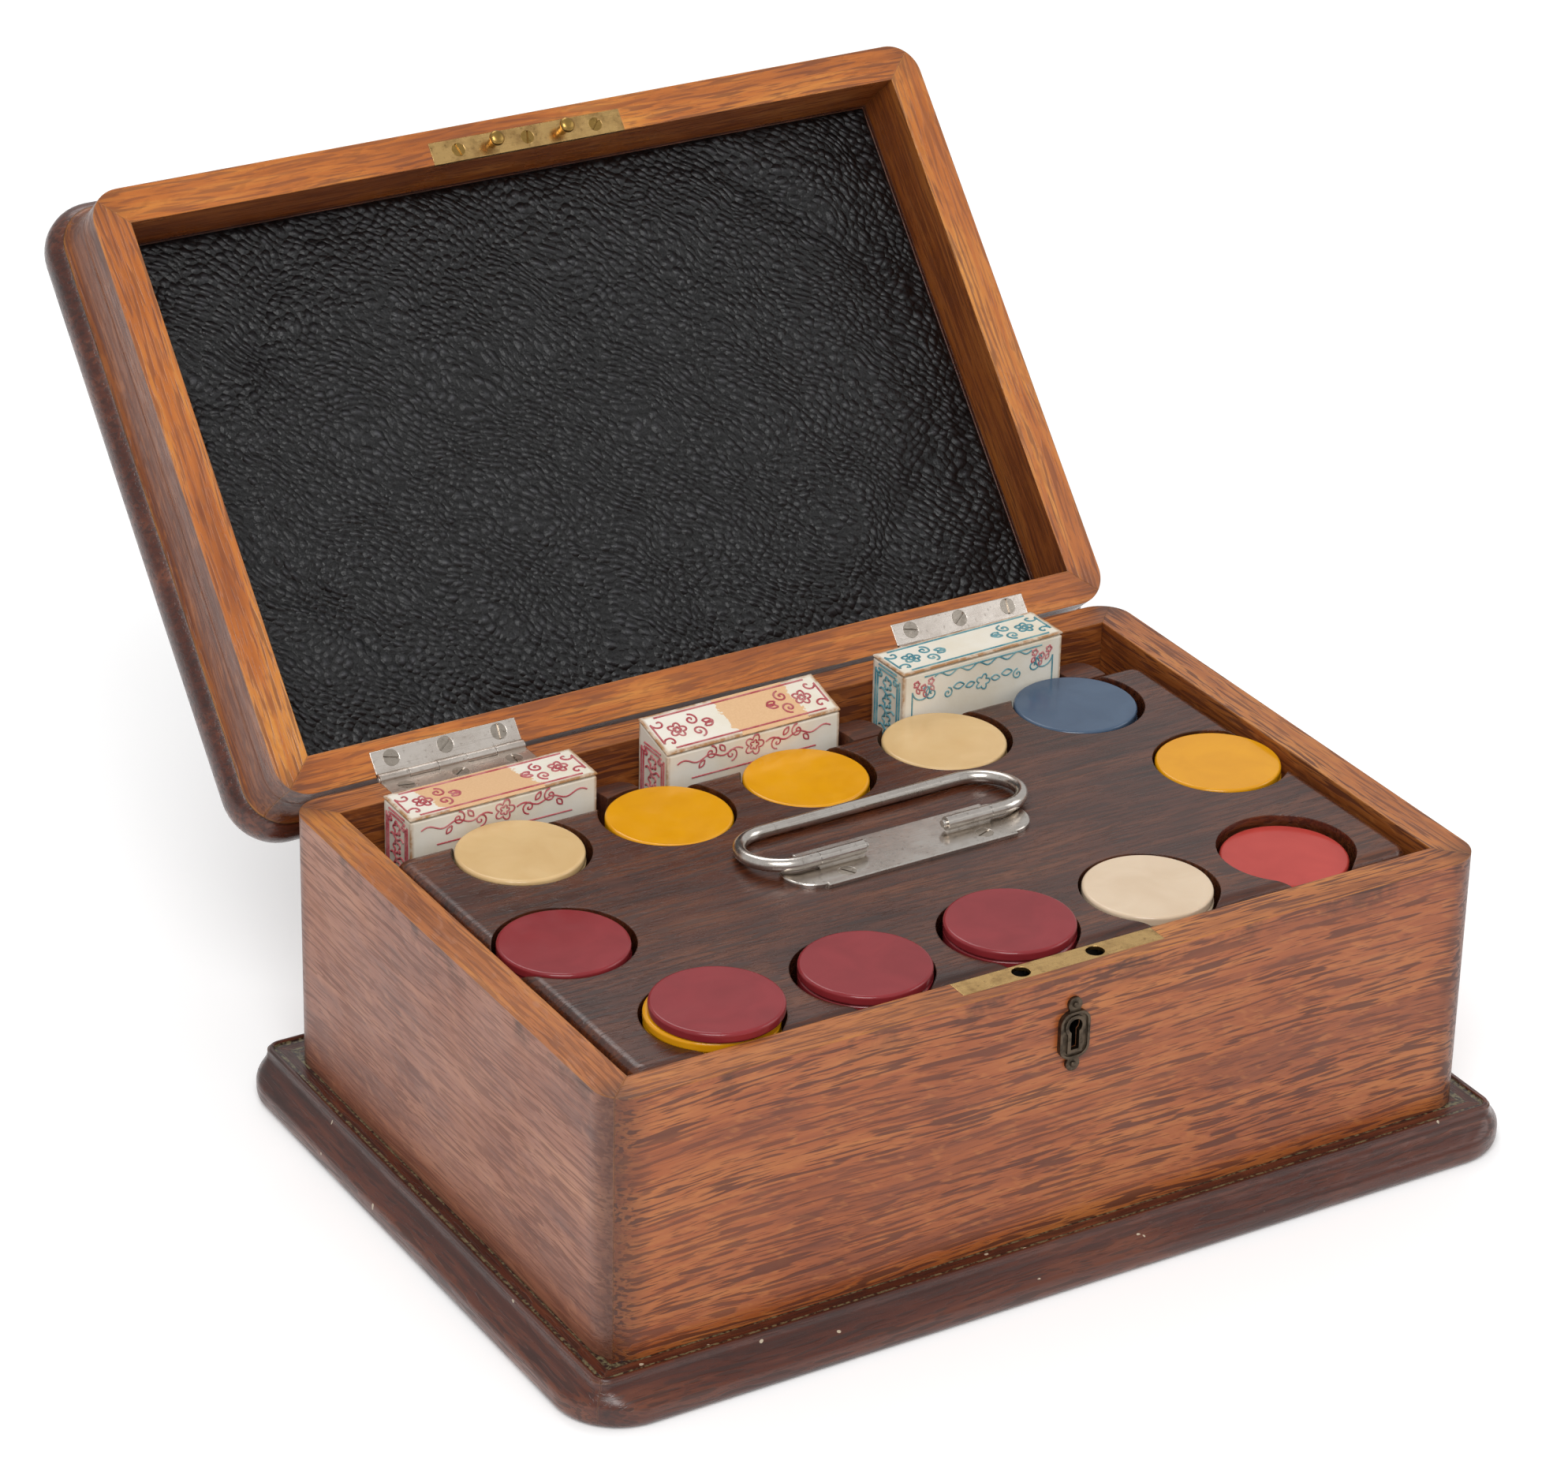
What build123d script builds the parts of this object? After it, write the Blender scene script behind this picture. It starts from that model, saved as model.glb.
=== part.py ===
from build123d import *
from math import asin, cos, degrees, radians, sin
import os

# A wooden poker case with its lid open: a bored carrier that lifts out holds stacks of
# chips and three packs of cards. Millimetres, +Z up, +Y to the back, and the origin is
# the centre of the plinth's underside.

# How far a cutting shape runs past what it cuts
CUT = 1.0

# Case boards
INNER_LENGTH = 264.0
INNER_DEPTH = 168.4
WALL = 11.2
CORNER_RADIUS = 10.0
RIM_HEIGHT = 95.0
BASE_THICKNESS = 9.0

# Plinth moulding, measured outwards from the case boards
LEDGE_HEIGHT = 13.2
BEAD_REACH = 5.8
BEAD_RADIUS = 0.9
LEDGE_CORNER = 4.0
PLINTH_REACH = 13.3
PLINTH_CORNER = 20.0
NOSE_HEIGHT = 5.0
FOOT_EDGE = 3.5
FOOT_TUCK = 2.8
CURVE_STEPS = 4

# Lid, measured upwards from its rim when it is shut
LID_FRAME_HEIGHT = 21.0
COVE_START = 9.4
COVE_REACH = 3.0
TOP_THICKNESS = 15.0
TOP_REACH = 6.3
TOP_EDGE_SHARE = 0.467
LINING_RECESS = 1.6
LINING_EDGE = 2.0
LINING_CROWN = 1.0
LINING_CLEARANCE = 0.3
LID_OPEN_ANGLE = 131.4

# Hinges
CLOSING_GAP = 0.3
HINGE_OUT = 0.9
HINGE_MIDDLE_X = 89.4
HINGE_LENGTH = 47.8
HINGE_KNUCKLES = 5
KNUCKLE_RADIUS = 1.7
KNUCKLE_GAP = 0.15
HINGE_PIN_RADIUS = 0.9
HINGE_PIN_EASE = 0.15
LEAF_THICKNESS = 1.2
LEAF_INSET = 7.8
HINGE_SCREW_PITCH = 17.7
HINGE_SCREW_INSET = 4.9
HINGE_SLOT_TURNS = (-15, 35, 85)
RUNNING_FIT = 0.05

# Countersunk screws
SCREW_HEAD_RADIUS = 2.6
SCREW_HEAD_DEPTH = 1.6
SCREW_SHANK_RADIUS = 1.1
SCREW_LENGTH = 9.0
SLOT_WIDTH = 0.6
SLOT_DEPTH = 0.5

# Lock and link plate, let into the rims of the case and the lid
LOCK_X = 1.8
LOCK_PLATE_LENGTH = 66.0
LOCK_PLATE_WIDTH = 7.1
LOCK_PLATE_THICKNESS = 1.2
STUD_PITCH = 24.4
STUD_HOLE_RADIUS = 2.7
STUD_NECK_RADIUS = 1.4
STUD_NECK_LENGTH = 2.9
STUD_HEAD_RADIUS = 2.3
STUD_HEAD_LENGTH = 2.7
STUD_SHOULDER = 0.8
LINK_SCREW_PITCH = 23.8
LINK_SCREW_RADIUS = 2.2
LINK_SLOT_TURNS = (105, 75, 45)
LOCK_CASE_LENGTH = 50.0
LOCK_CASE_HEIGHT = 30.0
LOCK_CASE_WALL = 0.8
BOLT_TRAVEL = 3.4
BOLT_CLEARANCE = 0.2
BOLT_FORK_THICKNESS = 0.9
BOLT_POST = 1.6
BOLT_RAIL_HEIGHT = 2.0
BOLT_TAIL_LENGTH = 8.0
BOLT_TAIL_WIDTH = 2.0

# Keyhole and its plate
KEYHOLE_X = 2.4
KEYHOLE_DROP = 16.1
KEYHOLE_RADIUS = 2.2
KEY_SLOT_WIDTH = 2.6
KEY_SLOT_DROP = 7.3
KEY_CHAMBER_RADIUS = 6.0
KEY_PIN_RADIUS = 0.8
PLATE_TOP_DROP = 7.3
PLATE_HEIGHT = 23.2
PLATE_WIDTH = 9.7
PLATE_BODY_HEIGHT = 14.6
PLATE_BODY_CORNER = 3.6
PLATE_LOBE_RADIUS = 2.2
PLATE_NECK_WIDTH = 3.5
PLATE_THICKNESS = 1.0
PLATE_RAISE = 0.6
PLATE_BORDER = 0.8
KEY_COLLAR = 1.1
PLATE_PIN_RADIUS = 0.9
PLATE_PIN_LENGTH = 5.0

# Carrier: a bored block and dividers on a thin base. It stands a little turned in the case
CARRIER_TURN = 0.75
CARRIER_END_GAP = 2.8
CARRIER_FRONT_GAP = 4.2
CARRIER_BACK_GAP = 2.8
CARRIER_SHIFT = 0.2
CARRIER_LIFT = 0.2
CARRIER_BASE_THICKNESS = 2.4
BLOCK_DROP = 2.4
BLOCK_EDGE_RADIUS = 4.0
BLOCK_CORNER_RADIUS = 5.0
TROUGH_DEPTH = 23.4

# Wells: the room round a chip, the wood beyond the outer wells, and how far the wells of each
# row break out of the block
WELL_CLEARANCE = 1.5
WELL_END_WALL = 12.95
FRONT_WELL_BREAK = 2.25
SIDE_WELL_BREAK = 2.55
BACK_WELL_BREAK = 5.85
WELLS_SHIFT = 1.5
SIDE_WELL_SHIFT = 0.8

# Dividers, placed by shares of the carrier's length from its middle
DIVIDER_THICKNESS = 11.5
DIVIDER_PLACES = (-0.1943, 0.125, 0.43266)
DIVIDER_DROP = 1.2
DIVIDER_FALL = 8.0
DIVIDER_BULGE = 2.6

# Handle on the carrier
HANDLE_X = 2.1
HANDLE_PLATE_Y = -8.15
HANDLE_PLATE_LENGTH = 64.0
HANDLE_PLATE_WIDTH = 20.3
HANDLE_PLATE_END = 9.0
HANDLE_PLATE_THICKNESS = 1.5
HANDLE_PLATE_EASE = 0.3
HANDLE_SCREW_X = 23.3
HANDLE_SCREW_Y = 5.75
HANDLE_SLOT_TURNS = {-1: (-60, -20), 1: (20, 60)}
BAIL_AXIS_Y = -7.6
BAIL_AXIS_HEIGHT = 4.0
BAIL_WIRE_RADIUS = 2.0
BAIL_REACH = 24.5
BAIL_HALF_LENGTH = 47.9
BAIL_PIN_RADIUS = 1.2
BAIL_REST_GAP = 0.1
LUG_START = 14.0
LUG_END = 29.0
LUG_FOOT_WIDTH = 1.6
LUG_GAP = 0.15

# Chips: each stack's height above the block and its shift in its well
CHIP_RADIUS = 18.75
CHIP_THICKNESS = 3.2
CHIP_EDGE_SHARE = 0.28
BURIED_EDGE_SHARE = 0.125
CHIP_WANDER = 0.2
WANDER_TURN = 137.5
FRONT_STACKS = ((2.2, -0.6, -0.8), (2.5, 0.6, -0.6), (2.5, 0.8, 0.2), (0.6, -0.5, 0.1), (-2.6, -0.2, 0.6))
SIDE_STACKS = ((1.0, -0.6, -0.8), (-0.4, -0.3, 0.8))
BACK_STACKS = ((1.0, -0.8, -0.5), (-0.6, 0.3, -0.7), (-0.8, -0.4, 0.5), (-0.4, -0.4, -0.2),
               (-0.6, -0.3, 0.9))
TOP_CHIP_SHIFT = (0.7, -1.2)

# Card packs: each one's width, height of its front edge above the block, rise of its top to the
# back, turn in degrees, and lean to the right as a share of the slack in its bay
PACK_THICKNESS = 16.8
PACK_BACK_GAP = 0.9
PACK_WIDTHS = (61.6, 60.4, 58.9)
PACK_HEIGHTS = (7.0, 7.0, 13.3)
PACK_RISES = (0.5, 4.6, 0.0)
PACK_TURNS = (-0.3, 0.4, 1.4)
PACK_LEANS = (0.313, 0.39, 0.43)
CARTON_WALL = 0.6
CARD_GAP = 0.3

# Places worked out from the sizes above
INNER_X = INNER_LENGTH / 2
INNER_Y = INNER_DEPTH / 2
OUTER_X = INNER_X + WALL
OUTER_Y = INNER_Y + WALL
FLOOR = BASE_THICKNESS
LID_RIM = RIM_HEIGHT + CLOSING_GAP
LID_UNDERSIDE = LID_RIM + LID_FRAME_HEIGHT
HINGE_Y = OUTER_Y + HINGE_OUT
HINGE_Z = RIM_HEIGHT + CLOSING_GAP / 2
LOCK_Y = -INNER_Y - LOCK_PLATE_WIDTH / 2
LOCK_TOP = RIM_HEIGHT - LOCK_PLATE_THICKNESS
BOLT_FORK_LENGTH = BOLT_TRAVEL + BOLT_CLEARANCE
KEYHOLE_Z = RIM_HEIGHT - KEYHOLE_DROP
CARRIER_BOTTOM = FLOOR + CARRIER_LIFT
WELL_FLOOR = CARRIER_BOTTOM + CARRIER_BASE_THICKNESS
CARRIER_LENGTH = INNER_LENGTH - 2 * CARRIER_END_GAP
CARRIER_LEFT = CARRIER_SHIFT - CARRIER_LENGTH / 2
CARRIER_RIGHT = CARRIER_SHIFT + CARRIER_LENGTH / 2
CARRIER_BACK = INNER_Y - CARRIER_BACK_GAP
BLOCK_FRONT = CARRIER_FRONT_GAP - INNER_Y
BLOCK_BACK = CARRIER_BACK - TROUGH_DEPTH
BLOCK_TOP = RIM_HEIGHT - BLOCK_DROP
WELL_RADIUS = CHIP_RADIUS + WELL_CLEARANCE
WELL_PITCH = (CARRIER_LENGTH / 2 - WELL_END_WALL - WELL_RADIUS) / 2
SIDE_WELL_REACH = CARRIER_LENGTH / 2 - WELL_RADIUS + SIDE_WELL_BREAK
FRONT_ROW_Y = BLOCK_FRONT + WELL_RADIUS - FRONT_WELL_BREAK
BACK_ROW_Y = BLOCK_BACK - WELL_RADIUS + BACK_WELL_BREAK
SIDE_WELL_Y = (FRONT_ROW_Y + BACK_ROW_Y) / 2 + SIDE_WELL_SHIFT
PACK_MIDDLE_Y = CARRIER_BACK - PACK_BACK_GAP - PACK_THICKNESS / 2
HANDLE_TOP = BLOCK_TOP + HANDLE_PLATE_THICKNESS
BAIL_AXIS_Z = BLOCK_TOP + BAIL_AXIS_HEIGHT
BAIL_REST_ANGLE = degrees(asin((BAIL_AXIS_HEIGHT - BAIL_WIRE_RADIUS - BAIL_REST_GAP) / BAIL_REACH))
SIDES = ("front", "back", "left", "right")


def box(x0, x1, y0, y1, z0, z1):
    """A block between three pairs of limits."""
    return Pos((x0 + x1) / 2, (y0 + y1) / 2, (z0 + z1) / 2) * Box(x1 - x0, y1 - y0, z1 - z0)


def bar_x(x0, x1, y, z, radius):
    """A round bar along X."""
    return Pos((x0 + x1) / 2, y, z) * Rot(0, 90, 0) * Cylinder(radius, x1 - x0)


def outline(offset, radius, height):
    """The case's plan, grown by an offset, as a face at a height."""
    return Pos(0, 0, height) * RectangleRounded(2 * (OUTER_X + offset), 2 * (OUTER_Y + offset), radius)


def slab(offset, radius, low, high):
    """The case's plan, grown by an offset, as a solid between two heights."""
    return extrude(outline(offset, radius, low), high - low)


def hollow(low, high):
    """The space inside the boards between two heights."""
    return box(-INNER_X, INNER_X, -INNER_Y, INNER_Y, low, high)


def mitre_wedge(side):
    """The space of one side of the frame, out from the inner face, cut at 45 degrees."""
    reach = 3 * (WALL + PLINTH_REACH)
    far_x = INNER_X + reach
    far_y = INNER_Y + reach
    plans = {
        "front": ((-INNER_X, -INNER_Y), (INNER_X, -INNER_Y), (far_x, -far_y), (-far_x, -far_y)),
        "back": ((INNER_X, INNER_Y), (-INNER_X, INNER_Y), (-far_x, far_y), (far_x, far_y)),
        "left": ((-INNER_X, INNER_Y), (-INNER_X, -INNER_Y), (-far_x, -far_y), (-far_x, far_y)),
        "right": ((INNER_X, -INNER_Y), (INNER_X, INNER_Y), (far_x, far_y), (far_x, -far_y)),
    }
    plan = make_face(Polyline(*plans[side], close=True))
    return extrude(plan, LID_UNDERSIDE + TOP_THICKNESS)


def quarter(start, end, radius_start, radius_end):
    """Outlines round a quarter of an ellipse, from an upright tangent to a level one."""
    for step in range(CURVE_STEPS + 1):
        angle = radians(90 * step / CURVE_STEPS)
        offset = end[0] + (start[0] - end[0]) * cos(angle)
        height = start[1] + (end[1] - start[1]) * sin(angle)
        radius = radius_end + (radius_start - radius_end) * cos(angle)
        yield outline(offset, radius, height)


def ogee(start, end, radius_start, radius_end):
    """Outlines up an S-curve that is upright at both ends: a round nose, then a hollow."""
    steps = 2 * CURVE_STEPS
    for step in range(steps + 1):
        share = step / steps
        inward = share - sin(radians(360) * share) / radians(360)
        offset = start[0] + (end[0] - start[0]) * inward
        height = start[1] + (end[1] - start[1]) * share
        radius = radius_start + (radius_end - radius_start) * inward
        yield outline(offset, radius, height)


def wedge_x(length, depth, low, front_top, back_top):
    """A block centred along X and Y whose top slopes from its front edge to its back edge."""
    half = depth / 2
    profile = Polyline((-half, low), (half, low), (half, back_top), (-half, front_top), close=True)
    return extrude(Plane.YZ * make_face(profile), length / 2, both=True)


def screw(x, y, z, head_radius, turn, up=1, slotted=True):
    """A countersunk screw with its head's flat face at a height, facing up or down."""
    shank = SCREW_LENGTH - SCREW_HEAD_DEPTH
    body = Pos(0, 0, -SCREW_HEAD_DEPTH / 2) * Cone(SCREW_SHANK_RADIUS, head_radius, SCREW_HEAD_DEPTH)
    body += Pos(0, 0, -SCREW_HEAD_DEPTH - shank / 2) * Cylinder(SCREW_SHANK_RADIUS, shank)
    if slotted:
        slot = Box(2 * (head_radius + CUT), SLOT_WIDTH, SLOT_DEPTH)
        body -= Rot(0, 0, turn) * Pos(0, 0, -SLOT_DEPTH / 2) * slot
    if up < 0:
        body = Rot(180, 0, 0) * body
    return Pos(x, y, z) * body


# Case

def plinth():
    """The whole plinth moulding before it is cut at the mitres."""
    bead_top = BEAD_REACH + BEAD_RADIUS
    rise = ogee((PLINTH_REACH, NOSE_HEIGHT), (bead_top, LEDGE_HEIGHT), PLINTH_CORNER, LEDGE_CORNER)
    tuck = quarter((PLINTH_REACH, FOOT_EDGE), (PLINTH_REACH - FOOT_TUCK, 0), PLINTH_CORNER,
                   PLINTH_CORNER - FOOT_TUCK)
    body = loft(list(rise))
    body += slab(PLINTH_REACH, PLINTH_CORNER, FOOT_EDGE, NOSE_HEIGHT)
    body += loft(list(tuck))
    path = outline(BEAD_REACH, LEDGE_CORNER, LEDGE_HEIGHT).face().outer_wire()
    start = path @ 0
    section = Plane(start, z_dir=path % 0) * Circle(BEAD_RADIUS)
    body += sweep(section, path)
    return body - slab(0, CORNER_RADIUS, -CUT, RIM_HEIGHT)


def base_board():
    return slab(0, CORNER_RADIUS, 0, FLOOR)


def keyhole(depth_from, depth_to, grow=0.0):
    """The keyhole's shape along Y, between two distances in front of the centre."""
    plan = Pos(KEYHOLE_X, KEYHOLE_Z) * Circle(KEYHOLE_RADIUS + grow)
    middle = KEYHOLE_Z - KEY_SLOT_DROP / 2
    plan += Pos(KEYHOLE_X, middle) * Rectangle(KEY_SLOT_WIDTH + 2 * grow, KEY_SLOT_DROP + 2 * grow)
    return extrude(Plane.XZ.offset(depth_from) * plan, depth_to - depth_from)


def hinge_middles():
    return {"left": -HINGE_MIDDLE_X, "right": HINGE_MIDDLE_X}


def hinge_seat(middle, up):
    """What a hinge takes out of a rim: the leaf's bed and the room for its knuckles."""
    x0 = middle - HINGE_LENGTH / 2
    x1 = middle + HINGE_LENGTH / 2
    rim = HINGE_Z + up * CLOSING_GAP / 2
    low, high = sorted((rim, rim + up * LEAF_THICKNESS))
    bed = box(x0, x1, OUTER_Y - LEAF_INSET, HINGE_Y, low, high)
    relief = KNUCKLE_RADIUS + 2 * KNUCKLE_GAP
    return bed + bar_x(x0 - KNUCKLE_GAP, x1 + KNUCKLE_GAP, HINGE_Y, HINGE_Z, relief)


def hinge_screws(middle, up, slotted=True):
    """The three screws of one leaf. They face the other leaf."""
    rim = HINGE_Z + up * CLOSING_GAP / 2
    y = OUTER_Y - HINGE_SCREW_INSET
    screws = []
    for number, turn in zip((-1, 0, 1), HINGE_SLOT_TURNS):
        x = middle + number * HINGE_SCREW_PITCH
        screws.append(screw(x, y, rim, SCREW_HEAD_RADIUS, turn, -up, slotted))
    return screws


def hinge_leaf(middle, up):
    """A leaf and its share of the knuckles: odd ones on the case, even ones on the lid."""
    x0 = middle - HINGE_LENGTH / 2
    rim = HINGE_Z + up * CLOSING_GAP / 2
    low, high = sorted((rim, rim + up * LEAF_THICKNESS))
    leaf = box(x0, x0 + HINGE_LENGTH, OUTER_Y - LEAF_INSET, HINGE_Y, low, high)
    step = HINGE_LENGTH / HINGE_KNUCKLES
    for number in range(HINGE_KNUCKLES):
        start = x0 + number * step
        is_lids = number % 2 == 1
        if is_lids == (up > 0):
            leaf += bar_x(start + KNUCKLE_GAP / 2, start + step - KNUCKLE_GAP / 2, HINGE_Y, HINGE_Z,
                          KNUCKLE_RADIUS)
        else:
            leaf -= bar_x(start - KNUCKLE_GAP / 2, start + step + KNUCKLE_GAP / 2, HINGE_Y, HINGE_Z,
                          KNUCKLE_RADIUS + KNUCKLE_GAP)
    hole = HINGE_PIN_RADIUS + (RUNNING_FIT if up > 0 else 0)
    leaf -= bar_x(x0 - CUT, x0 + HINGE_LENGTH + CUT, HINGE_Y, HINGE_Z, hole)
    for piece in hinge_screws(middle, up, slotted=False):
        leaf -= piece
    return leaf


def hinge_pin(middle):
    """The pin stands a little proud of the outer knuckles, with eased ends."""
    half = HINGE_LENGTH / 2 + KNUCKLE_GAP
    pin = bar_x(middle - half, middle + half, HINGE_Y, HINGE_Z, HINGE_PIN_RADIUS)
    return chamfer(pin.edges().filter_by(GeomType.CIRCLE), HINGE_PIN_EASE)


def case_boards():
    ring = slab(0, CORNER_RADIUS, FLOOR, RIM_HEIGHT) - hollow(FLOOR - CUT, RIM_HEIGHT + CUT)
    boards = {side: ring & mitre_wedge(side) for side in SIDES}
    for middle in hinge_middles().values():
        boards["back"] -= hinge_seat(middle, -1)
        for piece in hinge_screws(middle, -1, slotted=False):
            boards["back"] -= piece
    boards["front"] -= lock_plate_blank(RIM_HEIGHT, -1)
    boards["front"] -= lock_case_blank()
    boards["front"] -= keyhole(-LOCK_Y, OUTER_Y + CUT)
    for pin in escutcheon_pins():
        boards["front"] -= pin
    return {"case_" + side: board for side, board in boards.items()}


def stud_middles():
    return (LOCK_X - STUD_PITCH / 2, LOCK_X + STUD_PITCH / 2)


def lock_plate_blank(rim, up):
    """The strip that is let into a rim, flush with it and with the inner face."""
    half = LOCK_PLATE_LENGTH / 2
    low, high = sorted((rim, rim + up * LOCK_PLATE_THICKNESS))
    y = -INNER_Y
    return box(LOCK_X - half, LOCK_X + half, y - LOCK_PLATE_WIDTH, y, low, high)


def lock_plate():
    plate = lock_plate_blank(RIM_HEIGHT, -1)
    for x in stud_middles():
        plate -= Pos(x, LOCK_Y, RIM_HEIGHT) * Cylinder(STUD_HOLE_RADIUS, 2 * (LOCK_PLATE_THICKNESS + CUT))
    return plate


def lock_case_blank():
    half = LOCK_CASE_LENGTH / 2
    y = -INNER_Y
    return box(LOCK_X - half, LOCK_X + half, y - LOCK_PLATE_WIDTH, y, LOCK_TOP - LOCK_CASE_HEIGHT, LOCK_TOP)


def bolt_levels():
    """Heights of the fork's underside and of the rail, under the lock plate."""
    fork = LOCK_TOP - BOLT_CLEARANCE - BOLT_FORK_THICKNESS
    lowest_head = LID_RIM - STUD_NECK_LENGTH - STUD_HEAD_LENGTH
    rail_top = lowest_head - 2 * BOLT_CLEARANCE
    return fork, rail_top


def lock_case():
    """The lock's body: a bolt channel above a chamber where the key turns round a pin."""
    fork, rail_top = bolt_levels()
    channel_floor = rail_top - BOLT_RAIL_HEIGHT - BOLT_CLEARANCE
    half = LOCK_CASE_LENGTH / 2 - LOCK_CASE_WALL
    half_width = LOCK_PLATE_WIDTH / 2 - LOCK_CASE_WALL
    body = lock_case_blank()
    body -= box(LOCK_X - half, LOCK_X + half, LOCK_Y - half_width, LOCK_Y + half_width,
                channel_floor, LOCK_TOP + CUT)
    tail = BOLT_TAIL_LENGTH / 2 + BOLT_CLEARANCE
    tail_half = BOLT_TAIL_WIDTH / 2 + BOLT_CLEARANCE
    body -= box(KEYHOLE_X - tail - BOLT_TRAVEL, KEYHOLE_X + tail, LOCK_Y - tail_half, LOCK_Y + tail_half,
                KEYHOLE_Z, channel_floor + CUT)
    chamber = Rot(90, 0, 0) * Cylinder(KEY_CHAMBER_RADIUS, 2 * half_width)
    body -= Pos(KEYHOLE_X, LOCK_Y, KEYHOLE_Z) * chamber
    body -= keyhole(-LOCK_Y, -LOCK_Y + LOCK_PLATE_WIDTH)
    pin_length = LOCK_PLATE_WIDTH - LOCK_CASE_WALL / 2
    pin_middle = -INNER_Y - LOCK_CASE_WALL / 2 - pin_length / 2
    body += Pos(KEYHOLE_X, pin_middle, KEYHOLE_Z) * Rot(90, 0, 0) * Cylinder(KEY_PIN_RADIUS, pin_length)
    return body


def lock_bolt():
    """Two forks on a rail, which slide round the studs' necks, and a tail for the key."""
    fork_level, rail_top = bolt_levels()
    width = LOCK_PLATE_WIDTH / 2 - LOCK_CASE_WALL - BOLT_CLEARANCE
    slot = STUD_NECK_RADIUS + BOLT_CLEARANCE
    left, right = stud_middles()
    rail_start = left + STUD_HEAD_RADIUS + BOLT_CLEARANCE + BOLT_FORK_LENGTH
    rail_end = rail_start + STUD_PITCH + BOLT_POST
    rail_low = rail_top - BOLT_RAIL_HEIGHT
    bolt = box(rail_start, rail_end, LOCK_Y - width, LOCK_Y + width, rail_low, rail_top)
    for x in (left, right):
        fork_start = x + STUD_HEAD_RADIUS + BOLT_CLEARANCE
        post_start = fork_start + BOLT_FORK_LENGTH
        fork_top = fork_level + BOLT_FORK_THICKNESS
        bolt += box(post_start, post_start + BOLT_POST, LOCK_Y - width, LOCK_Y + width, rail_low, fork_top)
        fork = box(fork_start, post_start, LOCK_Y - width, LOCK_Y + width, fork_level, fork_top)
        bolt += fork - box(fork_start - CUT, post_start, LOCK_Y - slot, LOCK_Y + slot, fork_level, fork_top)
    tail_low = KEYHOLE_Z + KEY_CHAMBER_RADIUS / 2
    bolt += box(KEYHOLE_X - BOLT_TAIL_LENGTH / 2, KEYHOLE_X + BOLT_TAIL_LENGTH / 2,
                LOCK_Y - BOLT_TAIL_WIDTH / 2, LOCK_Y + BOLT_TAIL_WIDTH / 2, tail_low, rail_low)
    notch = Rot(90, 0, 0) * Cylinder(BOLT_TRAVEL / 2, BOLT_TAIL_WIDTH + 2 * CUT)
    return bolt - Pos(KEYHOLE_X, LOCK_Y, tail_low) * notch


def escutcheon_lobes():
    """Heights of the round lobes at the top and bottom of the keyhole plate."""
    top = RIM_HEIGHT - PLATE_TOP_DROP
    return (top - PLATE_LOBE_RADIUS, top - PLATE_HEIGHT + PLATE_LOBE_RADIUS)


def keyhole_escutcheon():
    """A thin shaped plate with a raised border and a raised collar round the keyhole."""
    upper, lower = escutcheon_lobes()
    middle = (upper + lower) / 2
    plan = Pos(KEYHOLE_X, middle) * RectangleRounded(PLATE_WIDTH, PLATE_BODY_HEIGHT, PLATE_BODY_CORNER)
    plan += Pos(KEYHOLE_X, upper) * Circle(PLATE_LOBE_RADIUS)
    plan += Pos(KEYHOLE_X, lower) * Circle(PLATE_LOBE_RADIUS)
    plan += Pos(KEYHOLE_X, middle) * Rectangle(PLATE_NECK_WIDTH, upper - lower)
    face = Plane.XZ.offset(OUTER_Y)
    plate = extrude(face * plan, PLATE_THICKNESS)
    outer = RectangleRounded(PLATE_WIDTH, PLATE_BODY_HEIGHT, PLATE_BODY_CORNER)
    inner = RectangleRounded(PLATE_WIDTH - 2 * PLATE_BORDER, PLATE_BODY_HEIGHT - 2 * PLATE_BORDER,
                             PLATE_BODY_CORNER - PLATE_BORDER)
    border = Pos(KEYHOLE_X, middle) * (outer - inner)
    plate += extrude(face * border, PLATE_THICKNESS + PLATE_RAISE)
    plate += keyhole(OUTER_Y, OUTER_Y + PLATE_THICKNESS + PLATE_RAISE, KEY_COLLAR)
    plate -= keyhole(OUTER_Y - CUT, OUTER_Y + PLATE_THICKNESS + PLATE_RAISE + CUT)
    for pin in escutcheon_pins():
        plate -= pin
    return plate


def escutcheon_pins():
    """Two small nails with domed heads, one through each lobe."""
    pins = []
    for height in escutcheon_lobes():
        face = OUTER_Y + PLATE_THICKNESS
        shank = Plane.XZ.offset(face - PLATE_PIN_LENGTH) * Circle(PLATE_PIN_RADIUS / 2)
        nail = extrude(shank, PLATE_PIN_LENGTH)
        dome = Pos(0, -face, 0) * Sphere(PLATE_PIN_RADIUS)
        reach = 2 * PLATE_PIN_RADIUS
        half_space = box(-reach, reach, -face - reach, -face, -reach, reach)
        pins.append(Pos(KEYHOLE_X, 0, height) * (nail + (dome & half_space)))
    return pins


# Lid, built shut and then swung open

def swing(shape):
    """Turns a piece of the shut lid back to its open place."""
    return Pos(0, HINGE_Y, HINGE_Z) * Rot(-LID_OPEN_ANGLE, 0, 0) * Pos(0, -HINGE_Y, -HINGE_Z) * shape


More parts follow.
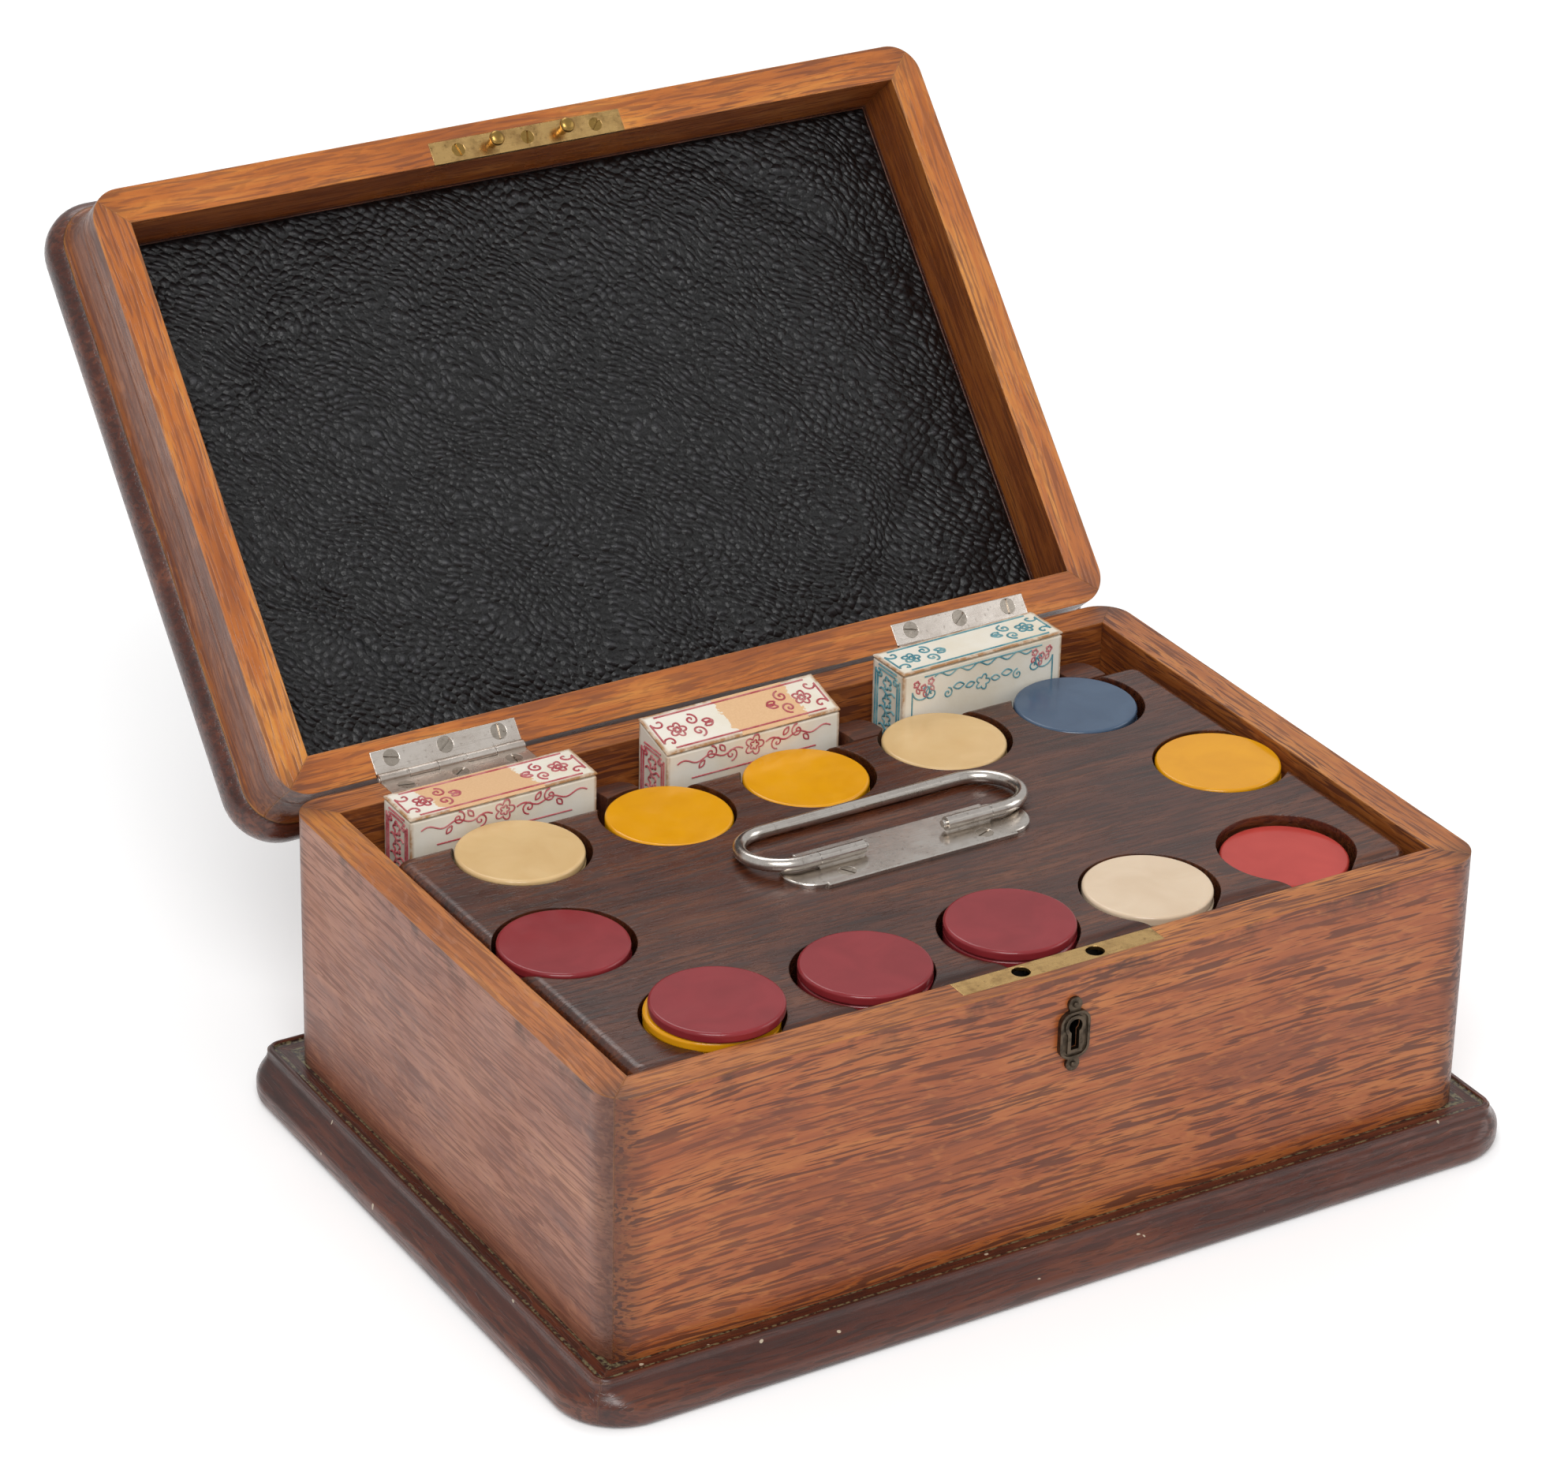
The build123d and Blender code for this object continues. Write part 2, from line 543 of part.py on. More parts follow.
def lid_boards():
    """Four mitred boards, upright at the rim and coved out under the top."""
    cove = quarter((0, LID_RIM + COVE_START), (COVE_REACH, LID_UNDERSIDE), CORNER_RADIUS,
                   CORNER_RADIUS + COVE_REACH)
    ring = slab(0, CORNER_RADIUS, LID_RIM, LID_RIM + COVE_START) + loft(list(cove))
    ring -= hollow(LID_RIM - CUT, LID_UNDERSIDE + CUT)
    boards = {side: ring & mitre_wedge(side) for side in SIDES}
    for middle in hinge_middles().values():
        boards["back"] -= hinge_seat(middle, 1)
        for piece in hinge_screws(middle, 1, slotted=False):
            boards["back"] -= piece
    boards["front"] -= lock_plate_blank(LID_RIM, 1)
    for piece in link_screws(slotted=False):
        boards["front"] -= piece
    return {"lid_" + side: swing(board) for side, board in boards.items()}


def lid_top():
    """The top board, rounded all round its edge, with a shallow bed for the lining."""
    radius = CORNER_RADIUS + TOP_REACH
    board = slab(TOP_REACH, radius, LID_UNDERSIDE, LID_UNDERSIDE + TOP_THICKNESS)
    rims = board.faces().filter_by(Axis.Z).edges()
    board = fillet(rims, TOP_EDGE_SHARE * TOP_THICKNESS)
    return board - hollow(LID_UNDERSIDE - CUT, LID_UNDERSIDE + LINING_RECESS)


def lid_lining():
    """The padded leather panel in the lid, crowned both ways."""
    half_x = INNER_X - LINING_CLEARANCE
    half_y = INNER_Y - LINING_CLEARANCE
    top = LID_UNDERSIDE + LINING_RECESS
    edge = top - LINING_EDGE
    crown = edge - LINING_CROWN
    across = crowned_profile(half_y, edge, crown, top)
    along = crowned_profile(half_x, edge, crown, top)
    pad = extrude(Plane.YZ * across, half_x, both=True)
    return pad & extrude(Plane.XZ * along, half_y, both=True)


def crowned_profile(half, edge, crown, top):
    """A strip whose underside bows from its edges down to the crown."""
    bow = ThreePointArc((-half, edge), (0, crown), (half, edge))
    rest = Polyline((half, edge), (half, top), (-half, top), (-half, edge))
    return make_face(Curve() + [bow, rest])


def link_screws(slotted=True):
    screws = []
    for number, turn in zip((-1, 0, 1), LINK_SLOT_TURNS):
        x = LOCK_X + number * LINK_SCREW_PITCH
        screws.append(screw(x, LOCK_Y, LID_RIM, LINK_SCREW_RADIUS, turn, -1, slotted))
    return screws


def link_stud(x):
    """A turned stud: a neck, then a bulb that the lock's fork catches behind."""
    neck_end = -STUD_NECK_LENGTH
    tip = neck_end - STUD_HEAD_LENGTH
    shoulder = neck_end - STUD_SHOULDER
    bulb = Spline((STUD_NECK_RADIUS, neck_end), (STUD_HEAD_RADIUS, shoulder), (0, tip),
                  tangents=((1, -0.4), (-1, 0)))
    sides = Polyline((0, tip), (0, LOCK_PLATE_THICKNESS), (STUD_NECK_RADIUS, LOCK_PLATE_THICKNESS),
                     (STUD_NECK_RADIUS, neck_end))
    profile = make_face(Curve() + [bulb, sides])
    return Pos(x, LOCK_Y, LID_RIM) * revolve(Plane.XZ * profile, Axis.Z)


def link_plate():
    plate = lock_plate_blank(LID_RIM, 1)
    for piece in link_screws(slotted=False):
        plate -= piece
    for x in stud_middles():
        plate -= link_stud(x)
    return plate


# Carrier, built square to the case and then turned a little with all it holds

def settle(shape):
    """Turns a piece of the carrier to where it stands in the case."""
    return Rot(0, 0, CARRIER_TURN) * shape


def well_middles():
    """The middles of the wells, row by row, from the left."""
    steps = (-2, -1, 0, 1, 2)
    front = [(WELLS_SHIFT + step * WELL_PITCH, FRONT_ROW_Y) for step in steps]
    side = [(WELLS_SHIFT + step * SIDE_WELL_REACH, SIDE_WELL_Y) for step in (-1, 1)]
    back = [(WELLS_SHIFT + step * WELL_PITCH, BACK_ROW_Y) for step in steps]
    return front, side, back


def bore_wells(piece):
    """Takes the wells out of a piece of the carrier, from the base up."""
    height = BLOCK_TOP - WELL_FLOOR
    for row in well_middles():
        for x, y in row:
            piece -= Pos(x, y, WELL_FLOOR + height / 2) * Cylinder(WELL_RADIUS, height + 2 * CUT)
    return piece


def carrier_block():
    """A solid block with rounded top edges, bored through. Some wells break out of its sides."""
    middle_y = (BLOCK_BACK + BLOCK_FRONT) / 2
    depth = BLOCK_BACK - BLOCK_FRONT
    plan = Pos(CARRIER_SHIFT, middle_y) * RectangleRounded(CARRIER_LENGTH, depth, BLOCK_CORNER_RADIUS)
    block = extrude(Pos(0, 0, WELL_FLOOR) * plan, BLOCK_TOP - WELL_FLOOR)
    block = fillet(block.faces().sort_by(Axis.Z)[-1].edges(), BLOCK_EDGE_RADIUS)
    block = bore_wells(block)
    for piece in handle_screws(slotted=False):
        block -= piece
    return block


def carrier_base():
    return box(CARRIER_LEFT, CARRIER_RIGHT, BLOCK_FRONT, CARRIER_BACK, CARRIER_BOTTOM, WELL_FLOOR)


def divider_middles():
    return [place * CARRIER_LENGTH for place in DIVIDER_PLACES]


def divider(middle):
    """An upright strip behind the block, its top rounding down to the back."""
    top = BLOCK_TOP - DIVIDER_DROP
    back_top = top - DIVIDER_FALL
    half_y = (BLOCK_BACK + CARRIER_BACK) / 2
    half_z = (top + back_top) / 2 + DIVIDER_BULGE
    crest = ThreePointArc((BLOCK_BACK, top), (half_y, half_z), (CARRIER_BACK, back_top))
    rest = Polyline((CARRIER_BACK, back_top), (CARRIER_BACK, WELL_FLOOR), (BLOCK_BACK, WELL_FLOOR),
                    (BLOCK_BACK, top))
    profile = make_face(Curve() + [crest, rest])
    strip = Pos(middle, 0, 0) * extrude(Plane.YZ * profile, DIVIDER_THICKNESS / 2, both=True)
    return bore_wells(strip)


def handle_screws(slotted=True):
    screws = []
    for side_x, turns in HANDLE_SLOT_TURNS.items():
        x = HANDLE_X + side_x * HANDLE_SCREW_X
        for side_y, turn in zip((-1, 1), turns):
            y = HANDLE_PLATE_Y + side_y * HANDLE_SCREW_Y
            screws.append(screw(x, y, HANDLE_TOP, SCREW_HEAD_RADIUS, turn, 1, slotted))
    return screws


def handle_plate():
    """The plate with rounded ends and two rolled lugs that hold the bail's pins."""
    plan = Pos(HANDLE_X, HANDLE_PLATE_Y) * Rectangle(HANDLE_PLATE_LENGTH, HANDLE_PLATE_WIDTH)
    for side in (-1, 1):
        plan += Pos(HANDLE_X + side * HANDLE_PLATE_LENGTH / 2, HANDLE_PLATE_Y) * Circle(HANDLE_PLATE_END)
    plate = extrude(Pos(0, 0, BLOCK_TOP) * plan, HANDLE_PLATE_THICKNESS)
    plate = chamfer(plate.faces().sort_by(Axis.Z)[-1].edges(), HANDLE_PLATE_EASE)
    for side in (-1, 1):
        x0, x1 = sorted((HANDLE_X + side * LUG_START, HANDLE_X + side * LUG_END))
        plate += bar_x(x0, x1, BAIL_AXIS_Y, BAIL_AXIS_Z, BAIL_WIRE_RADIUS)
        half = LUG_FOOT_WIDTH / 2
        foot = box(x0, x1, BAIL_AXIS_Y - half, BAIL_AXIS_Y + half, BLOCK_TOP + HANDLE_PLATE_THICKNESS / 2,
                   BAIL_AXIS_Z - BAIL_WIRE_RADIUS / 2)
        plate += foot
        plate -= bar_x(x0 - CUT, x1 + CUT, BAIL_AXIS_Y, BAIL_AXIS_Z, BAIL_PIN_RADIUS + RUNNING_FIT)
    for piece in handle_screws(slotted=False):
        plate -= piece
    return plate


def handle_bail():
    """A wire bent to a flat loop, its ends turned down to pins in the lugs, folded to the back."""
    bend = BAIL_REACH / 2
    straight = BAIL_HALF_LENGTH - bend - BAIL_WIRE_RADIUS
    butt = LUG_END + LUG_GAP
    route = Line((butt, 0), (straight, 0))
    route += ThreePointArc((straight, 0), (straight + bend, bend), (straight, BAIL_REACH))
    route += Line((straight, BAIL_REACH), (-straight, BAIL_REACH))
    route += ThreePointArc((-straight, BAIL_REACH), (-straight - bend, bend), (-straight, 0))
    route += Line((-straight, 0), (-butt, 0))
    wire = Wire(route.edges())
    loop = sweep(Plane(wire @ 0, z_dir=wire % 0) * Circle(BAIL_WIRE_RADIUS), wire)
    for side in (-1, 1):
        x0, x1 = sorted((side * (LUG_START - BAIL_PIN_RADIUS), side * (butt + BAIL_PIN_RADIUS)))
        loop += bar_x(x0, x1, 0, 0, BAIL_PIN_RADIUS)
    return Pos(HANDLE_X, BAIL_AXIS_Y, BAIL_AXIS_Z) * Rot(-BAIL_REST_ANGLE, 0, 0) * loop


# Chips

def chip(thickness, rounded):
    """A disc, rounded at its edges where it shows and only eased where it is buried."""
    disc = Cylinder(CHIP_RADIUS, thickness)
    edges = disc.edges().filter_by(GeomType.CIRCLE)
    if rounded:
        return fillet(edges, CHIP_EDGE_SHARE * thickness)
    return chamfer(edges, BURIED_EDGE_SHARE * thickness)


def chip_stack(middle, proud, shift_x, shift_y):
    """A stack from the well's floor to a height over the block, each chip a little astray."""
    height = BLOCK_TOP + proud - WELL_FLOOR
    count = round(height / CHIP_THICKNESS)
    thickness = height / count
    chips = []
    for number in range(count):
        turn = radians(WANDER_TURN * number)
        x = middle[0] + shift_x + CHIP_WANDER * cos(turn)
        y = middle[1] + shift_y + CHIP_WANDER * sin(turn)
        one = chip(thickness, number == count - 1)
        chips.append(Pos(x, y, WELL_FLOOR + thickness * (number + 0.5)) * one)
    return chips


def chip_stacks():
    """Every stack, and the odd chip that lies on top of the first one."""
    stacks = {}
    names = ("front", "side", "back")
    settings = (FRONT_STACKS, SIDE_STACKS, BACK_STACKS)
    for row, middles, values in zip(names, well_middles(), settings):
        for number, (middle, (proud, shift_x, shift_y)) in enumerate(zip(middles, values), 1):
            stacks[f"chips_{row}_{number}"] = chip_stack(middle, proud, shift_x, shift_y)
    first_x, first_y = well_middles()[0][0]
    proud, shift_x, shift_y = FRONT_STACKS[0]
    x = first_x + shift_x + TOP_CHIP_SHIFT[0]
    y = first_y + shift_y + TOP_CHIP_SHIFT[1]
    z = BLOCK_TOP + proud + CHIP_THICKNESS / 2
    stacks["chip_on_front_1"] = [Pos(x, y, z) * chip(CHIP_THICKNESS, True)]
    return stacks


# Card packs

def pack_middle(number):
    """The middle of a pack, counted from 0. Each stands to the left of the divider of its number."""
    middles = divider_middles()
    right = middles[number] - DIVIDER_THICKNESS / 2
    left = middles[number - 1] + DIVIDER_THICKNESS / 2 if number else CARRIER_LEFT
    slack = right - left - PACK_WIDTHS[number]
    return (left + right) / 2 + PACK_LEANS[number] * slack


def card_pack(middle, proud, rise, turn, width):
    """A closed carton and the deck that fills it. The carton's top may stand up at the back."""
    top = BLOCK_TOP + proud - WELL_FLOOR
    inner_width = width - 2 * CARTON_WALL
    inner_thickness = PACK_THICKNESS - 2 * CARTON_WALL
    place = Pos(middle, PACK_MIDDLE_Y, WELL_FLOOR) * Rot(0, 0, turn)
    ceiling = top - CARTON_WALL
    carton = wedge_x(width, PACK_THICKNESS, 0, top, top + rise)
    carton -= wedge_x(inner_width, inner_thickness, CARTON_WALL, ceiling, ceiling + rise)
    deck_top = ceiling - CARD_GAP
    deck_x = inner_width / 2 - CARD_GAP
    deck_y = inner_thickness / 2 - CARD_GAP
    deck = box(-deck_x, deck_x, -deck_y, deck_y, CARTON_WALL, deck_top)
    return place * carton, place * deck


def build():
    """All the pieces by name."""
    pieces = {"base_board": base_board()}
    whole_plinth = plinth()
    for side in SIDES:
        pieces["plinth_" + side] = whole_plinth & mitre_wedge(side)
    pieces.update(case_boards())
    pieces["lock_case"] = lock_case()
    pieces["lock_plate"] = lock_plate()
    pieces["lock_bolt"] = lock_bolt()
    pieces["keyhole_escutcheon"] = keyhole_escutcheon()
    pieces["escutcheon_pins"] = Compound(escutcheon_pins())
    case_screws = []
    lid_screws = []
    for name, middle in hinge_middles().items():
        pieces["hinge_leaf_case_" + name] = hinge_leaf(middle, -1)
        pieces["hinge_leaf_lid_" + name] = swing(hinge_leaf(middle, 1))
        pieces["hinge_pin_" + name] = hinge_pin(middle)
        case_screws += hinge_screws(middle, -1)
        lid_screws += [swing(piece) for piece in hinge_screws(middle, 1)]
    pieces["hinge_screws_case"] = Compound(case_screws)
    pieces["hinge_screws_lid"] = Compound(lid_screws)
    pieces.update(lid_boards())
    pieces["lid_top"] = swing(lid_top())
    pieces["lid_lining"] = swing(lid_lining())
    pieces["link_plate"] = swing(link_plate())
    pieces["link_studs"] = Compound([swing(link_stud(x)) for x in stud_middles()])
    pieces["link_screws"] = Compound([swing(piece) for piece in link_screws()])
    pieces["carrier_block"] = settle(carrier_block())
    pieces["carrier_base"] = settle(carrier_base())
    for number, middle in enumerate(divider_middles(), 1):
        pieces[f"divider_{number}"] = settle(divider(middle))
    pieces["handle_plate"] = settle(handle_plate())
    pieces["handle_screws"] = Compound([settle(piece) for piece in handle_screws()])
    pieces["handle_bail"] = settle(handle_bail())
    for name, chips in chip_stacks().items():
        pieces[name] = Compound([settle(piece) for piece in chips])
    for number, values in enumerate(zip(PACK_HEIGHTS, PACK_RISES, PACK_TURNS, PACK_WIDTHS)):
        carton, deck = card_pack(pack_middle(number), *values)
        pieces[f"carton_{number + 1}"] = settle(carton)
        pieces[f"cards_{number + 1}"] = settle(deck)
    return pieces


os.makedirs("parts", exist_ok=True)
for name, piece in build().items():
    export_step(piece, f"parts/{name}.step")
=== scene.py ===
import math

import bmesh
import bpy
from mathutils import Matrix, Vector, noise


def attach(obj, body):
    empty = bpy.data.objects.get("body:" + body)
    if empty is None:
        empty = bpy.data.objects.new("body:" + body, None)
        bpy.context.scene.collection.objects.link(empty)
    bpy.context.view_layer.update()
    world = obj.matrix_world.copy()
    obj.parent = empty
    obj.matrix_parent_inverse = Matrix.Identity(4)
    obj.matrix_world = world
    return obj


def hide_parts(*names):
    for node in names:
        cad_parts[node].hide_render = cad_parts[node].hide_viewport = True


# The looks of an old wooden poker case: oak boards, dark polished mouldings, a bored
# mahogany carrier, moulded chips, printed card cartons and a black leathercloth lining.

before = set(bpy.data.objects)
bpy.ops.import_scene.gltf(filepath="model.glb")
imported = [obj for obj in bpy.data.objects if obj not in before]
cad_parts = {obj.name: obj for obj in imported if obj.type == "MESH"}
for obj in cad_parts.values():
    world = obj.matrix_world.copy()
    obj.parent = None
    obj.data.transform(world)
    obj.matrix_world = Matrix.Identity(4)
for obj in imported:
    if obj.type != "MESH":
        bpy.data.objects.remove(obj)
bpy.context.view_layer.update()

MM = 0.001

# Camera at the photograph's angle, in millimetres and degrees
IMAGE_WIDTH = 1988
CAMERA_AZIMUTH = -31.477
CAMERA_ELEVATION = 27.101
CAMERA_ROLL = 1.357
CAMERA_DISTANCE = 1571.1
CAMERA_TARGET = (4.70, 63.87, 95.0)
CAMERA_FOCAL_PIXELS = 6718
SENSOR_WIDTH = 36.0
CAMERA_REACH = 20.0

# Studio: each lamp's place in metres, size in metres and power in watts
LAMPS = {
    "key": ((-1.1, -1.5, 2.1), 1.4, 44),
    "fill": ((1.9, -0.9, 1.2), 1.2, 8),
    "back": ((0.3, 1.6, 2.2), 1.3, 14),
}
LAMP_TARGET = (0.0, 0.0, 0.1)
SKY = 0.55
FLOOR_HALF = 4.0
FLOOR_COLOUR = "#fafafa"
FLOOR_LIFT = 0.14

# The shut lid and the hinge line that it swings about, in millimetres and degrees. The rim height lies
# between the case's rim and the lid's, so that it serves both.
LID_OPEN_ANGLE = 131.4
HINGE = (0.0, 96.3, 95.15)
INNER_HALF_LENGTH = 132.0
INNER_HALF_DEPTH = 84.2
OUTER_HALF_LENGTH = 143.2
OUTER_HALF_DEPTH = 95.4
RIM_HEIGHT = 95.15
LEDGE_HEIGHT = 13.2
LINING_BED = 117.9
KEYHOLE = (2.4, 75.6)
KEY_TUNNEL = 3.4

# Wood: lengths and widths of what shows in it, in millimetres
OAK_PORES = (16, 0.95)
MAHOGANY_PORES = (11, 1.1)
RAY_FLECKS = (12, 2.4)
GRAIN_DRIFT = 6.0
GRAIN_BEND = 80.0
SCUFF = 26.0
# This edge radius also sets where the mouldings carry a painted highlight
WORN_AND_HIGHLIT_EDGE = 0.7
LEDGE_GROOVE = 4.3
LEDGE_FOOT = -0.3
LEDGE_BAND = 0.5
FLECK = 2.8
CRUMB = 1.3

# Leather pad in the lid, in millimetres, and what its cloth simulation is told
PAD_GAP = 0.3
PAD_CELL = 3.0
PAD_ROLL = 3.2
PAD_EDGE = 1.6
PAD_CROWN = 1.0
PAD_PUCKER = 0.42
PAD_PUCKER_LENGTH = 15.0
PAD_PUCKER_WIDTH = 9.0
PAD_SLACK = 0.006
PAD_PRESSURE = 0.5
PAD_FRAMES = 20
PAD_CAP = 1.9
PAD_LEAST = 0.3
PAD_SKIN = 0.05
PEBBLE = (3.1, 2.15)
PEBBLE_ROWS = -46
PEBBLE_DEPTH = 1.1

# Card packs, as they stand in the carrier, in millimetres and degrees
CARRIER_TURN = 0.75
PACK_FLOOR = 11.6
PACK_MIDDLE_Y = 72.1
PACK_THICKNESS = 16.8
BLOCK_TOP = 92.6
PACKS = {
    "1": dict(middle=-88.9, proud=7.0, rise=0.5, turn=-0.3, width=61.6),
    "2": dict(middle=-4.82, proud=7.0, rise=4.6, turn=0.4, width=60.4),
    "3": dict(middle=75.96, proud=13.3, rise=0.0, turn=1.4, width=58.9),
}
CARTON_EDGE = 0.45
BODY_INSET_X = 0.5
BODY_INSET_Y = 0.2
FLAP_THICKNESS = 0.7
FLAP_GAP = 0.5
FOOT_GAP = 0.05
INK_RADIUS = 0.36
INK_SINK = 0.18
BAND_SCROLL = 2.2
FRAME_CURL = 5.0

# Colours, as they look on a screen: the dark, the middle and the light of each wood
OAK = ("#703418", "#9a5024", "#b06a34")
OAK_PORE = "#4a2016"
# The left board's colours are paler and pinker: a painted reflection of the bright surroundings
OAK_SIDE_PAINTED_REFLECTION = ("#6a3c2c", "#925a42", "#aa7254")
OAK_LID = ("#8a471c", "#b46628", "#d08a3c")
OAK_LID_SIDE = ("#3c1a08", "#6e3610", "#985620")
OAK_INNER = ("#582a10", "#8a4a20", "#aa6830")
OAK_RIM = ("#7e431a", "#a9622c", "#c27e3a")
MOULDING = ("#2a0e07", "#4c2113", "#6c3a24")
MOULDING_PORE = "#1c0b07"
# The moulding's rubbed colour is partly wear and partly a painted highlight along the edges
MOULDING_RUBBED_AND_HIGHLIT = "#a06c4c"
CARRIER = ("#260f07", "#4c2413", "#693a20")
CARRIER_PORE = "#180805"
BASE_WOOD = ("#3d2618", "#5a3a28", "#7a5238")
# This dark colour is also painted shade in the plinth's groove and at the foot of the boards
GRIME_AND_SHADE = "#2b1712"
DUST = "#6f6548"
SPECK = "#cdbfa6"
TUNNEL = "#060302"
# The leather's valley colour is painted shade between the pebbles
LEATHER_VALLEY_SHADE = "#040405"
LEATHER = "#151517"
# The leather's worn colour is partly wear and partly a painted highlight on the pebble tops
LEATHER_WORN_AND_HIGHLIT = "#4a4a4e"
CARTON_CREAM = "#e2dccf"
CARTON_AGED = "#d3c4a8"
CARTON_FOLD = "#a0744a"
CARTON_TORN = ("#cfa378", "#deb88c")


def linear(code):
    """An sRGB hex colour as Blender's linear colour."""
    channels = [int(code[start:start + 2], 16) / 255 for start in (1, 3, 5)]
    return [c / 12.92 if c <= 0.04045 else ((c + 0.055) / 1.055) ** 2.4 for c in channels] + [1.0]


def add(tree, kind, inputs=(), ramp=(), **settings):
    """Adds a node with its settings. Its inputs are given in order, or by name or number, as nodes,
    sockets, hex colours or plain values. A ramp is pairs of a place and a hex colour."""
    made = tree.nodes.new("ShaderNode" + kind)
    for name, value in settings.items():
        setattr(made, name, value)
    for key, value in inputs.items() if isinstance(inputs, dict) else enumerate(inputs):
        if isinstance(value, bpy.types.Node):
            value = next(socket for socket in value.outputs if socket.enabled)
        if isinstance(value, bpy.types.NodeSocket):
            tree.links.new(value, made.inputs[key])
        else:
            made.inputs[key].default_value = linear(value) if isinstance(value, str) else value
    for number, (place, code) in enumerate(ramp):
        elements = made.color_ramp.elements
        element = elements[number] if number < len(elements) else elements.new(place)
        element.position = place
        element.color = linear(code)
    return made


def new_material(name):
    """A new material, with its nodes and its shader."""
    made = bpy.data.materials.new(name)
    made.use_nodes = True
    return made, made.node_tree, made.node_tree.nodes["Principled BSDF"]


def finish(tree, shader, colour, roughness, normal, ior=1.5, **constants):
    """Joins what was drawn to the shader, and sets its constant values on its own sockets."""
    for name, node in (("Base Color", colour), ("Roughness", roughness), ("Normal", normal)):
        tree.links.new(next(socket for socket in node.outputs if socket.enabled), shader.inputs[name])
    shader.inputs["IOR"].default_value = ior
    for name, value in constants.items():
        shader.inputs[name.replace("_", " ")].default_value = value


def swing_matrix():
    """The turn that takes the shut lid to its open place, in metres."""
    pivot = Matrix.Translation(Vector(HINGE) * MM)
    return pivot @ Matrix.Rotation(math.radians(-LID_OPEN_ANGLE), 4, "X") @ pivot.inverted()


def turned_back(tree, place, matrix):
    """Coordinates as they were before a piece was moved by a matrix."""
    back = matrix.inverted()
    return add(tree, "Mapping", {"Vector": place, "Location": back.to_translation(),
                                 "Rotation": back.to_euler()})


def shut_place(tree, on_lid):
    """Object coordinates, for a lid piece turned back to where it is when the lid is shut."""
    place = add(tree, "TexCoord").outputs["Object"]
    if not on_lid:
        return place
    return turned_back(tree, place, swing_matrix())


def stretched_noise(tree, place, length, width, detail=3.0, roughness=0.5):
    """Noise drawn out along X. Length and width are the size of its features in millimetres."""
    scale = (1 / (length * MM), 1 / (width * MM), 1 / (width * MM))
    drawn = add(tree, "Mapping", {"Vector": place, "Scale": scale})
    return add(tree, "TexNoise", {"Vector": drawn, "Scale": 1.0, "Detail": detail, "Roughness": roughness})


def past_sides(tree, split, half_x, half_y):
    """How far a point is past the ends and past the long sides of an upright box, in plan."""
    size_x = add(tree, "Math", [split.outputs[0]], operation="ABSOLUTE")
    size_y = add(tree, "Math", [split.outputs[1]], operation="ABSOLUTE")
    past_x = add(tree, "Math", [size_x, half_x * MM], operation="SUBTRACT")
    past_y = add(tree, "Math", [size_y, half_y * MM], operation="SUBTRACT")
    return past_x, past_y


def grain_place(tree, shut, grain):
    """Coordinates with the grain along X, wandering a few millimetres over a hand's width."""
    turn = math.radians(90) if grain == "Y" else 0
    place = add(tree, "Mapping", {"Vector": shut, "Rotation": (0, 0, turn)})
    drift = add(tree, "TexNoise", {"Vector": place, "Scale": 1 / (GRAIN_BEND * MM), "Detail": 1.0})
    drift = drift.outputs["Color"]
    drift = add(tree, "VectorMath", [drift, (0.5, 0.5, 0.5)], operation="SUBTRACT")
    drift = add(tree, "VectorMath", {0: drift, "Scale": GRAIN_DRIFT * MM}, operation="SCALE")
    return add(tree, "VectorMath", [place, drift], operation="ADD")


def grain_tone(tree, place):
    """Growth rings, finer streaks and broad clouds of stain, as one value from dark to light."""
    streaks = stretched_noise(tree, place, 45, 1.8, roughness=0.55)
    rings = stretched_noise(tree, place, 240, 8.0, detail=1.0)
    clouds = stretched_noise(tree, place, 50, 30, detail=2.0)
    tone = add(tree, "Mix", {0: 0.45, 2: streaks, 3: rings}, data_type="FLOAT")
    tone = add(tree, "Mix", {0: 0.35, 2: tone, 3: clouds}, data_type="FLOAT")
    return add(tree, "MapRange", [tone, 0.34, 0.66]), rings, streaks


def open_pores(tree, place, rings, long, wide):
    """Rows of dark dashes, denser in each ring's early wood. Real pores are a third of a millimetre
    wide, too fine to show, so these are drawn coarser."""
    dashes = stretched_noise(tree, place, long, wide, detail=0.5)
    dashes = add(tree, "MapRange", [dashes, 0.54, 0.6])
    ticks = stretched_noise(tree, place, 0.45 * long, 0.55 * wide, detail=1.0)
    ticks = add(tree, "MapRange", [ticks, 0.56, 0.65, 0.0, 0.7])
    pores = add(tree, "Math", [dashes, ticks], operation="MAXIMUM")
    rows = add(tree, "MapRange", [rings, 0.34, 0.58, 0.6, 1.0])
    return add(tree, "Math", [pores, rows], operation="MULTIPLY")


def eased_edges(tree, radius):
    """The normal of rounded edges, and how much a point lies on such an edge."""
    eased = add(tree, "Bevel", {"Radius": radius * MM}, samples=4)
    flat = add(tree, "NewGeometry").outputs["Normal"]
    turned = add(tree, "VectorMath", [eased, flat], operation="DOT_PRODUCT").outputs["Value"]
    return eased, add(tree, "MapRange", [turned, 0.86, 0.985, 1.0, 0.0])


def shades(dark, middle, light):
    """A wood's three colours as a ramp from its darkest grain to its lightest."""
    return (0.0, dark), (0.5, middle), (1.0, light)


